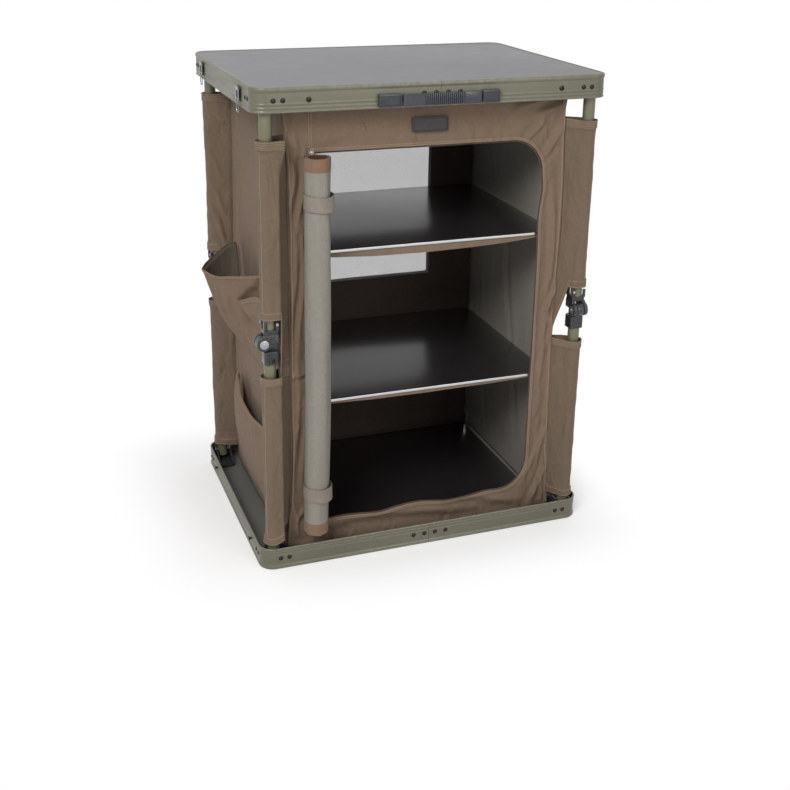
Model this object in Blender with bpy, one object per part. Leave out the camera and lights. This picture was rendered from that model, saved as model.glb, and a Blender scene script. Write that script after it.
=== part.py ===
"""Folding camp cupboard: two shallow trays joined by four folding legs, with a fabric cabinet between them.

Metres, +Z up. The origin is the middle of the footprint, on the floor. The front, with the door, faces -Y.
The legs fold pinwheel fashion, each towards the next corner, so that the top tray comes straight down.
"""
import math

import bmesh
import bpy
from mathutils import Matrix, Vector

# Driving sizes of the standing cupboard
WIDTH = 0.600
DEPTH = 0.445
HEIGHT = 0.815
TRAY_HEIGHT = 0.039
TRAY_CORNER = 0.026
GAP = 0.0003

# The tray's extruded rim, as distances in from the outer face and away from the panel side
RIM_PROFILE = (
    (0.0050, 0.0000), (0.0015, 0.0000), (0.0000, 0.0018), (0.0000, 0.0062), (0.0014, 0.0074),
    (0.0010, 0.0090), (0.0010, 0.0355), (0.0000, 0.0365), (0.0000, 0.0390), (0.0028, 0.0390),
    (0.0028, 0.0075), (0.0090, 0.0075), (0.0090, 0.0052), (0.0050, 0.0052),
)
WALL_FACE = 0.0010
INNER_WALL = 0.0028
PANEL_INSET = 0.0053
PANEL_THICKNESS = 0.0049
RIM_CORNER_STEPS = 5

# Legs: round tubes whose knuckle pins sit outside the tube's line
LEG_X = 0.275
LEG_Y = 0.2025
TUBE_RADIUS = 0.0100
TUBE_BORE = 0.0086
KNUCKLE_OFFSET = 0.0115
PIVOT_HEIGHT = TRAY_HEIGHT - KNUCKLE_OFFSET + 0.0002
HALF_LEG = (HEIGHT - 2 * PIVOT_HEIGHT) / 2
TUBE_TAIL = 0.0100
TUBE_IN_KNUCKLE = 0.0180
ROUND = 16

# Leg brackets and the pins through them
BRACKET_HALF = 0.0140
CHANNEL_HALF = 0.0120
BRACKET_LENGTH = 0.040
BRACKET_END_HEIGHT = 0.008
BRACKET_FLOOR = 0.0078
BRACKET_FLOOR_TOP = 0.0108
CHEEK_TOP = 0.0052
PIN_RADIUS = 0.0025
PIN_HOLE = 0.0028
PIN_HEAD = 0.0045

# Knuckles
KNUCKLE_HALF = 0.0130
SOCKET_HALF = 0.0125
TONGUE_HALF = 0.0065
SLOT_HALF = 0.0068
BARREL_RADIUS = 0.0115
SOCKET_END = 0.0360
SOCKET_START = 0.0138
SOCKET_INNER_SIDE = 0.0130
SOCKET_OUTER_SIDE = -0.0111
KNUCKLE_PIN_RADIUS = 0.0035
KNUCKLE_PIN_HOLE = 0.0038
KNUCKLE_DISC = 0.0073
DISC_THICKNESS = 0.0010

# Rivets, screws and catches
RIVET_RADIUS = 0.0026
RIVET_HEIGHT = 0.0014
SCREW_RADIUS = 0.0038
RIVET_LEVEL = 0.0200
CORNER_RIVETS = (0.2520, 0.2670)
SIDE_RIVETS = (0.1780, 0.1920)
SPLICE_CENTRE = 0.0040
SPLICE_PITCH = 0.0202
SCREW_PLACE = 0.2120
LATCH_PLACE = 0.140

# Handle on the top tray's front rail
HANDLE_LEVEL = 0.789
CAP_HEIGHT = 0.0205
STRAP_HEIGHT = 0.0185
LEFT_CAP = (-0.1030, -0.0655)
RIGHT_CAP = (0.0700, 0.1000)
CAP_THICKNESS = 0.0085
STRAP_THICKNESS = 0.0028
STRAP_BOW = 0.0020

# Latches on the top tray's sides
LATCH_HALF_WIDTH = 0.0100
LATCH_HEIGHT = 0.0170
LATCH_THICKNESS = 0.0034
LATCH_PLATE_THICKNESS = 0.0012
LATCH_AXIS_DROP = 0.0110
BAIL_RADIUS = 0.0008
BAIL_HALF_WIDTH = 0.0065
BAIL_DROP = 0.0200

# Shelves
SHELF_HALF_X = 0.240
SHELF_HALF_Y = 0.1825
SHELF_THICKNESS = 0.0045
SHELF_CORNER = 0.020
UPPER_SHELF_TOP = 0.544
MIDDLE_SHELF_TOP = 0.283
BOARD_TOP = 0.022
UPPER_SLING_SAG = 0.0120
MIDDLE_SLING_SAG = 0.0050

# Fabric cabinet
COVER_HALF_X = 0.247
COVER_HALF_Y = 0.186
COVER_CORNER = 0.010
COVER_WALL = 0.0014
COVER_BOTTOM = 0.0156
COVER_TOP = 0.8080
COVER_BELLY = 0.0028
DOOR_LEFT, DOOR_RIGHT = -0.199, 0.2025
DOOR_BOTTOM, DOOR_TOP = 0.062, 0.707
DOOR_CORNER = 0.055
HEM_WAVE = 0.0030
WINDOW_HALF = 0.150
WINDOW_BOTTOM, WINDOW_TOP = 0.368, 0.700
NET_COLUMNS, NET_ROWS = 10, 11
NET_STRAND = 0.0024
SLEEVE_RADIUS = 0.0118
SLEEVE_BORE = 0.0104
UPPER_SLEEVE = (0.460, 0.745)
LOWER_SLEEVE = (0.048, 0.348)

# The rolled door, its straps, and the trim beside it
ROLL_X, ROLL_Y = -0.1965, -0.2146
ROLL_RADIUS = 0.0222
ROLL_BOTTOM, ROLL_TOP = 0.046, 0.705
STRAP_LEVELS = (0.136, 0.636)
STRAP_WIDTH = 0.024
BADGE_CENTRE = (-0.0020, 0.7415)
BADGE_SIZE = (0.062, 0.027)

# Side pockets on the left wall, as places along Y and up Z
POCKET_WALL_X = -0.2512
UPPER_POCKET_OUT = 0.0700
LOWER_POCKET_OUT = 0.0270
FABRIC = 0.0012

# The four corners: name, side along X, side along Y, quarter turns of the folding direction
CORNERS = (
    ("front_left", -1, -1, 0),
    ("front_right", 1, -1, 1),
    ("back_right", 1, 1, 2),
    ("back_left", -1, 1, 3),
)

COLOURS = {
    "olive_metal": ((0.165, 0.160, 0.110), 0.45, 0.6),
    "grey_panel": ((0.280, 0.280, 0.290), 0.55, 0.0),
    "floor_grey": ((0.085, 0.088, 0.075), 0.60, 0.0),
    "black_plastic": ((0.045, 0.047, 0.052), 0.45, 0.0),
    "steel": ((0.600, 0.600, 0.610), 0.30, 1.0),
    "black_board": ((0.020, 0.020, 0.022), 0.30, 0.0),
    "brown_fabric": ((0.185, 0.135, 0.098), 0.90, 0.0),
    "lining": ((0.300, 0.285, 0.240), 0.90, 0.0),
    "net": ((0.500, 0.510, 0.540), 0.80, 0.0),
    "rubber": ((0.060, 0.060, 0.065), 0.60, 0.0),
}


def material(name):
    """A Principled material of the table's colour, roughness and metallic value, made once."""
    if name in bpy.data.materials:
        return bpy.data.materials[name]
    colour, roughness, metallic = COLOURS[name]
    made = bpy.data.materials.new(name)
    made.use_nodes = True
    shader = made.node_tree.nodes["Principled BSDF"]
    shader.inputs["Base Color"].default_value = (*colour, 1.0)
    shader.inputs["Roughness"].default_value = roughness
    shader.inputs["Metallic"].default_value = metallic
    return made


def finish(bm, name):
    """Turns a bmesh into a mesh whose faces point out."""
    bmesh.ops.recalc_face_normals(bm, faces=bm.faces)
    mesh = bpy.data.meshes.new(name)
    bm.to_mesh(mesh)
    bm.free()
    return mesh


def add(name, mesh, finish_name, parent=None):
    """Adds a piece whose mesh is drawn where it stands, under the empty on its axis if it moves."""
    obj = bpy.data.objects.new(name, mesh)
    bpy.context.collection.objects.link(obj)
    mesh.materials.clear()
    mesh.materials.append(material(finish_name))
    mesh.shade_smooth()
    mesh.set_sharp_from_angle(angle=math.radians(32))
    if parent is not None:
        obj.parent = parent
        obj.matrix_parent_inverse = Matrix.Translation(-world_place(parent))
    return obj


def add_turned(name, mesh, finish_name, turns, place, parent=None):
    """Adds a piece whose mesh is in a leg's own axes, at a place in the world, turned with its leg."""
    obj = add(name, mesh, finish_name, parent)
    obj.location = place
    obj.rotation_euler.z = turns * math.pi / 2
    return obj


def world_place(empty):
    """Where an empty stands, from its own and its parents' locations; no empty is turned."""
    place = Vector(empty.location)
    while empty.parent is not None:
        empty = empty.parent
        place = place + empty.location
    return place


def add_axis(name, place, parent=None):
    """An empty on a joint's axis, at a place given in the world."""
    empty = bpy.data.objects.new(name, None)
    empty.empty_display_size = 0.02
    bpy.context.collection.objects.link(empty)
    empty.parent = parent
    empty.location = Vector(place) - (world_place(parent) if parent is not None else Vector())
    return empty


def box(bm, low, high):
    """A box between two corners."""
    low, high = Vector(low), Vector(high)
    size = high - low
    place = Matrix.Translation((low + high) / 2) @ Matrix.Diagonal((*size, 1.0))
    return bmesh.ops.create_cube(bm, size=1.0, matrix=place)["verts"]


def soft_box(bm, low, high, edge, segments=2):
    """A box with rounded edges."""
    verts = box(bm, low, high)
    edges = list({e for v in verts for e in v.link_edges})
    bmesh.ops.bevel(bm, geom=edges, offset=edge, segments=segments, profile=0.5, affect="EDGES", material=-1)


def rod(bm, radius, start, end, sides=12, end_radius=None):
    """A cylinder, or a cone, between two points."""
    start, end = Vector(start), Vector(end)
    along = end - start
    turn = along.to_track_quat("Z", "Y").to_matrix().to_4x4()
    bmesh.ops.create_cone(
        bm, cap_ends=True, segments=sides, radius1=radius,
        radius2=radius if end_radius is None else end_radius,
        depth=along.length, matrix=Matrix.Translation((start + end) / 2) @ turn,
    )


def prism(bm, outline, along):
    """A solid from a flat outline, pushed along a vector."""
    face = bm.faces.new([bm.verts.new(p) for p in outline])
    pushed = bmesh.ops.extrude_face_region(bm, geom=[face])["geom"]
    bmesh.ops.translate(bm, vec=along, verts=[v for v in pushed if isinstance(v, bmesh.types.BMVert)])


def arc(centre, radius, start, end, steps):
    """Points on an arc, angles in degrees."""
    angles = [math.radians(start + (end - start) * i / steps) for i in range(steps + 1)]
    return [(centre[0] + radius * math.cos(a), centre[1] + radius * math.sin(a)) for a in angles]


def rounded_outline(half_x, half_y, radius, steps):
    """A rectangle with round corners, anticlockwise from the right-hand side."""
    points = []
    for sx, sy, start in ((1, 1, 0), (-1, 1, 90), (-1, -1, 180), (1, -1, 270)):
        centre = (sx * (half_x - radius), sy * (half_y - radius))
        points += arc(centre, radius, start, start + 90, steps)
    return points


def ring(bm, points, z):
    """Vertices through the points of an outline, at one height."""
    return [bm.verts.new((x, y, z)) for x, y in points]


def skin(bm, rings, capped=False):
    """Faces from each ring to the next. The last ring joins the first, unless the two ends are capped."""
    pairs = list(zip(rings, rings[1:]))
    if capped:
        bm.faces.new(rings[0])
        bm.faces.new(rings[-1])
    else:
        pairs.append((rings[-1], rings[0]))
    for one, other in pairs:
        for k in range(len(one)):
            bm.faces.new((one[k - 1], one[k], other[k], other[k - 1]))


def combined(operation, mesh, tools):
    """The mesh with each tool's solid taken away, or joined on."""
    body = bpy.data.objects.new("blank", mesh)
    bpy.context.collection.objects.link(body)
    helpers = []
    for tool in tools:
        helper = bpy.data.objects.new("helper", tool)
        bpy.context.collection.objects.link(helper)
        helper.hide_render = True
        helper.display_type = "WIRE"
        modifier = body.modifiers.new("combine", "BOOLEAN")
        modifier.operation = operation
        modifier.solver = "EXACT"
        modifier.object = helper
        helpers.append(helper)
    graph = bpy.context.evaluated_depsgraph_get()
    result = bpy.data.meshes.new_from_object(body.evaluated_get(graph))
    for obj in helpers + [body]:
        bpy.data.objects.remove(obj)
    return result


def cut(mesh, *tools):
    return combined("DIFFERENCE", mesh, tools)


def fused(mesh, *tools):
    return combined("UNION", mesh, tools)


def tool_box(low, high):
    bm = bmesh.new()
    box(bm, low, high)
    return finish(bm, "tool")


def tool_rod(radius, start, end, sides=12):
    bm = bmesh.new()
    rod(bm, radius, start, end, sides)
    return finish(bm, "tool")


def flipped(mesh):
    """The mesh mirrored top to bottom about its own origin."""
    bm = bmesh.new()
    bm.from_mesh(mesh)
    bmesh.ops.scale(bm, vec=(1, 1, -1), verts=bm.verts)
    return finish(bm, mesh.name + "_flipped")


def moved(mesh, offset):
    """The same mesh, moved by an offset."""
    mesh.transform(Matrix.Translation(offset))
    return mesh


# Trays: an extruded aluminium rim bent round the corners, with a panel held in it

def tray_rim():
    bm = bmesh.new()
    rings = []
    for inset, height in RIM_PROFILE:
        outline = rounded_outline(WIDTH / 2 - inset, DEPTH / 2 - inset, TRAY_CORNER - inset, RIM_CORNER_STEPS)
        rings.append(ring(bm, outline, height))
    skin(bm, rings)
    return finish(bm, "tray_rim")


def tray_panel():
    bm = bmesh.new()
    half_x, half_y = WIDTH / 2 - PANEL_INSET, DEPTH / 2 - PANEL_INSET
    outline = rounded_outline(half_x, half_y, TRAY_CORNER - PANEL_INSET, RIM_CORNER_STEPS)
    prism(bm, [(x, y, 0) for x, y in outline], (0, 0, PANEL_THICKNESS))
    return finish(bm, "tray_panel")


def splice_plate():
    """The joining plate behind the rim's seam, in the middle of the front rail."""
    bm = bmesh.new()
    y = -DEPTH / 2 + INNER_WALL + GAP
    half = 2 * SPLICE_PITCH
    box(bm, (SPLICE_CENTRE - half, y, 0.0085), (SPLICE_CENTRE + half, y + 0.0020, 0.0340))
    return finish(bm, "splice_plate")


def rivet(bm, place, outward, radius, height):
    """A low domed head, set a little into the rim's face."""
    place, outward = Vector(place), Vector(outward)
    rod(bm, radius, place - outward * 0.0006, place + outward * height, 8, radius * 0.62)


def rim_rivets():
    """Rivets of the splice and of the four brackets."""
    bm = bmesh.new()
    front = -DEPTH / 2 + WALL_FACE
    side = WIDTH / 2 - WALL_FACE
    for step in (-1.5, -0.5, 0.5, 1.5):
        place = (SPLICE_CENTRE + step * SPLICE_PITCH, front, RIVET_LEVEL)
        rivet(bm, place, (0, -1, 0), RIVET_RADIUS, RIVET_HEIGHT)
    for sx in (-1, 1):
        for x in CORNER_RIVETS:
            rivet(bm, (sx * x, front, RIVET_LEVEL), (0, -1, 0), RIVET_RADIUS, RIVET_HEIGHT)
            rivet(bm, (sx * x, -front, RIVET_LEVEL), (0, 1, 0), RIVET_RADIUS, RIVET_HEIGHT)
        for y in SIDE_RIVETS:
            for sy in (-1, 1):
                rivet(bm, (sx * side, sy * y, RIVET_LEVEL), (sx, 0, 0), RIVET_RADIUS, RIVET_HEIGHT)
    return finish(bm, "rim_rivets")


def rim_screws():
    """The two larger screws on the top tray's front rail."""
    bm = bmesh.new()
    for sx in (-1, 1):
        rivet(bm, (sx * SCREW_PLACE, -DEPTH / 2 + WALL_FACE, RIVET_LEVEL), (0, -1, 0), SCREW_RADIUS, RIVET_HEIGHT)
    return finish(bm, "rim_screws")


def latch_plates():
    """The plates on the top tray's sides that the latches hang from, set a little into the rim's face."""
    bm = bmesh.new()
    face = WIDTH / 2 - WALL_FACE
    half = LATCH_HALF_WIDTH + 0.0020
    low, high = LATCH_AXIS_DROP - 0.0015, LATCH_AXIS_DROP + LATCH_HEIGHT + 0.0030
    for sx in (-1, 1):
        xs = sorted((sx * (face - 0.0006), sx * (face + LATCH_PLATE_THICKNESS)))
        for y in (-LATCH_PLACE, LATCH_PLACE):
            box(bm, (xs[0], y - half, low), (xs[1], y + half, high))
    return finish(bm, "latch_plates")


def catch_stud(sx):
    """A headed stud on the base tray's side, over which a latch wire hooks, with its foot at the origin."""
    bm = bmesh.new()
    profile = [(0, 0), (0.0022, 0), (0.0022, 0.0034), (0.0040, 0.0036), (0.0040, 0.0046), (0, 0.0050)]
    turn_profile(bm, profile, 10)
    mesh = finish(bm, "catch_stud")
    mesh.transform(Matrix.Rotation(-sx * math.pi / 2, 4, "Z"))
    return mesh


# Leg brackets: plastic channels riveted into the tray corners

def bracket():
    """One bracket with its riveted pin, in its leg's axes, with the pin's axis through the origin."""
    bm = bmesh.new()
    low = BRACKET_FLOOR - PIVOT_HEIGHT
    half = BRACKET_HALF
    plan = (
        (-0.0130, half), (-0.0130, -0.0105), (-0.0095, -half), (BRACKET_LENGTH, -half), (BRACKET_LENGTH, half),
    )
    prism(bm, [(x, y, low) for x, y in plan], (0, 0, CHEEK_TOP - low))
    body = finish(bm, "bracket")
    channel = tool_box(
        (-0.05, -CHANNEL_HALF, BRACKET_FLOOR_TOP - PIVOT_HEIGHT), (0.08, CHANNEL_HALF, 0.03)
    )
    slope = bmesh.new()
    end = low + BRACKET_END_HEIGHT
    side = [(0.012, -0.03, CHEEK_TOP), (0.050, -0.03, end - 0.004), (0.050, -0.03, 0.02), (0.012, -0.03, 0.02)]
    prism(slope, side, (0, 0.06, 0))
    return fused(cut(body, channel, finish(slope, "tool")), hinge_pin())


def hinge_pin():
    """A pin along a leg's hinge axis, with a riveted head at each end."""
    bm = bmesh.new()
    face = BRACKET_HALF - 0.0002
    head = BRACKET_HALF + 0.0012
    profile = [(0, -head), (PIN_HEAD, -head), (PIN_HEAD, -face), (PIN_RADIUS, -face)]
    turn_profile(bm, profile + [(r, -z) for r, z in reversed(profile)], 12)
    return finish(bm, "hinge_pin")


def turn_profile(bm, profile, sides):
    """A solid turned about the Y axis from (radius, place along Y) pairs that start and end on the axis."""
    verts = [bm.verts.new((r, y, 0)) for r, y in profile]
    edges = [bm.edges.new(pair) for pair in zip(verts, verts[1:])]
    bmesh.ops.spin(
        bm, geom=verts + edges, cent=(0, 0, 0), axis=(0, 1, 0), angle=2 * math.pi, steps=sides, use_merge=True,
    )
    bmesh.ops.remove_doubles(bm, verts=bm.verts, dist=0.00005)


# Legs, in their own axes: folding towards +X, hinge axes along Y, the tube's line along Z

def tube(low, high, hole_at):
    """A tube along Z with a cross hole for its pin."""
    bm = bmesh.new()
    rings = []
    for radius, z in ((TUBE_RADIUS, low), (TUBE_RADIUS, high), (TUBE_BORE, high), (TUBE_BORE, low)):
        rings.append(ring(bm, arc((0, 0), radius, 0, 360, ROUND)[:-1], z))
    skin(bm, rings)
    hole = tool_rod(PIN_HOLE, (0, -0.03, hole_at), (0, 0.03, hole_at))
    return cut(finish(bm, "tube"), hole)


def knuckle_profile(radius, shoulder):
    """The side view of a knuckle half: a round eye, joined to the block that holds the tube."""
    start = -math.degrees(math.asin(shoulder / radius))
    eye = arc((-KNUCKLE_OFFSET, 0), radius, start, 262, 15)
    block = [(SOCKET_OUTER_SIDE, -radius), (SOCKET_OUTER_SIDE, -SOCKET_END + 0.002)]
    block += [(SOCKET_OUTER_SIDE + 0.002, -SOCKET_END), (SOCKET_INNER_SIDE - 0.002, -SOCKET_END)]
    block += [(SOCKET_INNER_SIDE, -SOCKET_END + 0.002), (SOCKET_INNER_SIDE, -shoulder)]
    return eye + block


def knuckle_bores():
    """Cutters for both knuckle halves: the tube's bore and the pin's hole."""
    bore = tool_rod(TUBE_RADIUS + GAP, (0, 0, -0.06), (0, 0, -TUBE_IN_KNUCKLE + 0.0015), ROUND)
    hole = tool_rod(KNUCKLE_PIN_HOLE, (-KNUCKLE_OFFSET, -0.03, 0), (-KNUCKLE_OFFSET, 0.03, 0))
    return bore, hole


def lower_socket():
    """The knuckle half on the lower tube: a block with one central tongue, the pin's axis at height 0."""
    bm = bmesh.new()
    outline = knuckle_profile(BARREL_RADIUS, GAP)
    prism(bm, [(x, -SOCKET_HALF, z) for x, z in outline], (0, 2 * SOCKET_HALF, 0))
    sides = [
        tool_box((-0.04, TONGUE_HALF, -SOCKET_START), (0.04, 0.03, 0.04)),
        tool_box((-0.04, -0.03, -SOCKET_START), (0.04, -TONGUE_HALF, 0.04)),
    ]
    return cut(finish(bm, "lower_socket"), *sides, *knuckle_bores())


def upper_clevis():
    """The knuckle half on the upper tube: a block with two cheeks, built upside down and turned over."""
    bm = bmesh.new()
    outline = knuckle_profile(BARREL_RADIUS + 0.0004, GAP)
    prism(bm, [(x, -KNUCKLE_HALF, z) for x, z in outline], (0, 2 * KNUCKLE_HALF, 0))
    slot = tool_box((-0.04, -SLOT_HALF, -SOCKET_START + 0.0132), (0.04, SLOT_HALF, 0.04))
    relief = bmesh.new()
    centre = (-KNUCKLE_OFFSET, 0)
    clear = arc(centre, BARREL_RADIUS + 0.0006, 170, 380, 10) + [(0.0131, 0.005), (0.0131, 0.02), (-0.04, 0.02)]
    prism(relief, [(x, -SLOT_HALF, z) for x, z in clear], (0, 2 * SLOT_HALF, 0))
    made = cut(finish(bm, "upper_clevis"), slot, finish(relief, "tool"), *knuckle_bores())
    return flipped(made)


def knuckle_pin():
    """The steel pin through a knuckle, with a flat disc head at each end, in the knuckle's own axes."""
    bm = bmesh.new()
    face = KNUCKLE_HALF + GAP
    head = face + DISC_THICKNESS
    profile = [(0, -head), (KNUCKLE_DISC - 0.0004, -head), (KNUCKLE_DISC, -head + 0.0004)]
    profile += [(KNUCKLE_DISC, -face), (KNUCKLE_PIN_RADIUS, -face)]
    turn_profile(bm, profile + [(r, -y) for r, y in reversed(profile)], 12)
    return finish(bm, "knuckle_pin")


# Handle, latches

def handle_cap(ends):
    """One moulded end cap of the handle."""
    bm = bmesh.new()
    face = -DEPTH / 2 + WALL_FACE - GAP - 0.0002
    low = (ends[0], face - CAP_THICKNESS, HANDLE_LEVEL - CAP_HEIGHT / 2)
    high = (ends[1], face, HANDLE_LEVEL + CAP_HEIGHT / 2)
    soft_box(bm, low, high, 0.0016)
    return finish(bm, "handle_cap")


def handle_strap():
    """The ribbed strap between the caps, bowed a little off the rail so that fingers pass behind it."""
    bm = bmesh.new()
    left, right = LEFT_CAP[1] + GAP, RIGHT_CAP[0] - GAP
    back = -DEPTH / 2 + WALL_FACE - 0.0060
    steps = 14
    bottom, top = HANDLE_LEVEL - STRAP_HEIGHT / 2, HANDLE_LEVEL + STRAP_HEIGHT / 2
    outline = []
    for i in range(steps + 1):
        share = i / steps
        bow = STRAP_BOW * math.sin(math.pi * share)
        outline.append((left + (right - left) * share, back - bow, bottom))
    front = [(x, y - STRAP_THICKNESS, z) for x, y, z in reversed(outline)]
    prism(bm, outline + front, (0, 0, top - bottom))
    return finish(bm, "handle_strap")


def latch(sx, sy):
    """The swinging half of one latch: a flap hung from its top edge, and the wire loop below it."""
    bm = bmesh.new()
    inner = WIDTH / 2 - WALL_FACE + LATCH_PLATE_THICKNESS + GAP
    y, top = sy * LATCH_PLACE, HEIGHT - LATCH_AXIS_DROP
    xs = sorted((sx * inner, sx * (inner + LATCH_THICKNESS)))
    low = (xs[0], y - LATCH_HALF_WIDTH, top - LATCH_HEIGHT)
    high = (xs[1], y + LATCH_HALF_WIDTH, top + 0.0006)
    soft_box(bm, low, high, 0.0009, 1)
    middle = sx * (inner + LATCH_THICKNESS / 2)
    start = top - LATCH_HEIGHT + 0.0020
    end = top - LATCH_HEIGHT - BAIL_DROP
    wires = []
    for side in (-1, 1):
        across = y + side * BAIL_HALF_WIDTH
        wires.append(tool_box(
            (middle - BAIL_RADIUS, across - BAIL_RADIUS, end), (middle + BAIL_RADIUS, across + BAIL_RADIUS, start)
        ))
    reach = BAIL_HALF_WIDTH + 1.5 * BAIL_RADIUS
    depth = BAIL_RADIUS + 0.0001
    wires.append(tool_box((middle - depth, y - reach, end - BAIL_RADIUS), (middle + depth, y + reach, end + depth)))
    return fused(finish(bm, "latch"), *wires)


# Shelves and slings

def board(top):
    """A thin board with round corners."""
    bm = bmesh.new()
    outline = rounded_outline(SHELF_HALF_X, SHELF_HALF_Y, SHELF_CORNER, 5)
    prism(bm, [(x, y, top - SHELF_THICKNESS) for x, y in outline], (0, 0, SHELF_THICKNESS))
    return finish(bm, "board")


def sheet(columns, rows, point):
    """A cloth sheet of even thickness: point(s, t) gives its outer face and the way through the cloth."""
    bm = bmesh.new()
    layers = []
    for depth in (0.0, FABRIC):
        grid = []
        for i in range(columns + 1):
            line = []
            for j in range(rows + 1):
                place, through = point(i / columns, j / rows)
                line.append(bm.verts.new(Vector(place) + Vector(through) * depth))
            grid.append(line)
        layers.append(grid)
    for grid in layers:
        for i in range(columns):
            for j in range(rows):
                bm.faces.new((grid[i][j], grid[i + 1][j], grid[i + 1][j + 1], grid[i][j + 1]))
    rims = [grid_rim(grid) for grid in layers]
    for k in range(len(rims[0])):
        bm.faces.new((rims[0][k - 1], rims[0][k], rims[1][k], rims[1][k - 1]))
    return finish(bm, "sheet")


def grid_rim(grid):
    """The vertices round the edge of a grid, in order."""
    near, far = [line[0] for line in grid], [line[-1] for line in grid]
    return near + grid[-1][1:-1] + far[::-1] + grid[0][1:-1][::-1]


def sling(shelf_top, sag):
    """The cloth that hangs under a shelf, held along its left and right edges."""
    half_x, half_y = SHELF_HALF_X - 0.003, SHELF_HALF_Y - 0.002
    level = shelf_top - SHELF_THICKNESS - GAP - FABRIC

    def point(s, t):
        drop = sag * (1 - (2 * s - 1) ** 2)
        return (-half_x + 2 * half_x * s, -half_y + 2 * half_y * t, level - drop), (0, 0, 1)

    return sheet(12, 2, point)


# Fabric cabinet

def cover_outline(inset, share):
    """The cabinet's plan at a share of its height: straight walls that belly out a little."""
    points = []
    half_x, half_y, radius = COVER_HALF_X - inset, COVER_HALF_Y - inset, COVER_CORNER - inset
    belly = COVER_BELLY * math.sin(math.pi * share)
    corners = rounded_outline(half_x, half_y, radius, 3)
    for k in range(4):
        points += corners[4 * k:4 * k + 4]
        start, end = Vector(corners[4 * k + 3]), Vector(corners[(4 * k + 4) % 16])
        outward = Vector((end - start)).normalized()
        outward = Vector((outward.y, -outward.x))
        steps = 7
        for i in range(1, steps):
            along = i / steps
            points.append(tuple(start.lerp(end, along) + outward * belly * math.sin(math.pi * along)))
    return points


def cabinet_body():
    """The fabric box: walls and floor, before its door and window are cut."""
    bm = bmesh.new()
    levels = 9
    rings = []
    for inset, bottom in ((0, COVER_BOTTOM), (COVER_WALL, COVER_BOTTOM + FABRIC)):
        wall = []
        for k in range(levels + 1):
            share = k / levels
            wall.append(ring(bm, cover_outline(inset, share), bottom + (COVER_TOP - bottom) * share))
        rings += wall if inset == 0 else wall[::-1]
    skin(bm, rings, capped=True)
    return finish(bm, "cabinet_body")


def door_outline():
    """The door's opening: round corners on the right, and a hem that waves along the bottom."""
    points = [(DOOR_LEFT, DOOR_TOP - 0.006), (DOOR_LEFT, DOOR_BOTTOM + 0.006)]
    steps = 12
    straight = DOOR_RIGHT - DOOR_CORNER - DOOR_LEFT - 0.010
    for i in range(steps + 1):
        share = i / steps
        wave = HEM_WAVE * math.sin(5.5 * math.pi * share) * share
        points.append((DOOR_LEFT + 0.010 + straight * share, DOOR_BOTTOM + wave))
    points += arc((DOOR_RIGHT - DOOR_CORNER, DOOR_BOTTOM + DOOR_CORNER), DOOR_CORNER, -75, 0, 5)
    points += arc((DOOR_RIGHT - DOOR_CORNER, DOOR_TOP - DOOR_CORNER), DOOR_CORNER, 0, 90, 6)
    return points + [(DOOR_LEFT + 0.010, DOOR_TOP)]


def cabinet():
    """The fabric box with its door opening and the hole of its window, and with its leg sleeves sewn on."""
    door = bmesh.new()
    prism(door, [(x, -0.25, z) for x, z in door_outline()], (0, 0.12, 0))
    window = tool_box((-WINDOW_HALF, 0.10, WINDOW_BOTTOM), (WINDOW_HALF, 0.25, WINDOW_TOP))
    walls = cut(cabinet_body(), finish(door, "tool"), window)
    return fused(walls, *[sleeve(sx, sy, low, high) for _, sx, sy, _ in CORNERS
                          for low, high in (UPPER_SLEEVE, LOWER_SLEEVE)])


def window_net():
    """The back window's net, as a flat grid of strands with square gaps."""
    bm = bmesh.new()
    reach = 0.0005
    low, high = -WINDOW_HALF + reach, WINDOW_HALF - reach
    bottom, top = WINDOW_BOTTOM + reach, WINDOW_TOP - reach
    xs = strand_lines(low, high, NET_COLUMNS)
    zs = strand_lines(bottom, top, NET_ROWS)
    y = COVER_HALF_Y - COVER_WALL
    grid = [[bm.verts.new((x, y, z)) for z in zs] for x in xs]
    for i in range(len(xs) - 1):
        for j in range(len(zs) - 1):
            if i % 2 == 1 and j % 2 == 1:
                continue
            bm.faces.new((grid[i][j], grid[i + 1][j], grid[i + 1][j + 1], grid[i][j + 1]))
    pushed = bmesh.ops.extrude_face_region(bm, geom=list(bm.faces))["geom"]
    bmesh.ops.translate(bm, vec=(0, FABRIC, 0), verts=[v for v in pushed if isinstance(v, bmesh.types.BMVert)])
    return finish(bm, "window_net")


def strand_lines(low, high, gaps):
    """Both edges of each strand, from one side of the net to the other."""
    pitch = (high - low - NET_STRAND) / gaps
    lines = []
    for k in range(gaps + 1):
        lines += [low + k * pitch, low + k * pitch + NET_STRAND]
    return lines


def sleeve_outline(sx, sy, radius, tail_radius, tail_out):
    """The loop of cloth round a leg, drawn to a point beside the cabinet's corner."""
    centre = Vector((sx * LEG_X, sy * LEG_Y))
    corner = Vector((sx * (COVER_HALF_X - COVER_CORNER), sy * (COVER_HALF_Y - COVER_CORNER)))
    towards = (corner - centre).normalized()
    tail = corner - towards * (COVER_CORNER + tail_out)
    angle = math.degrees(math.atan2(towards.y, towards.x))
    lean = math.degrees(math.acos((radius - tail_radius) / (tail - centre).length))
    points = arc(centre, radius, angle + lean, angle + 360 - lean, 13)
    return points + arc(tail, tail_radius, angle - lean, angle + lean, 2)


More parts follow.
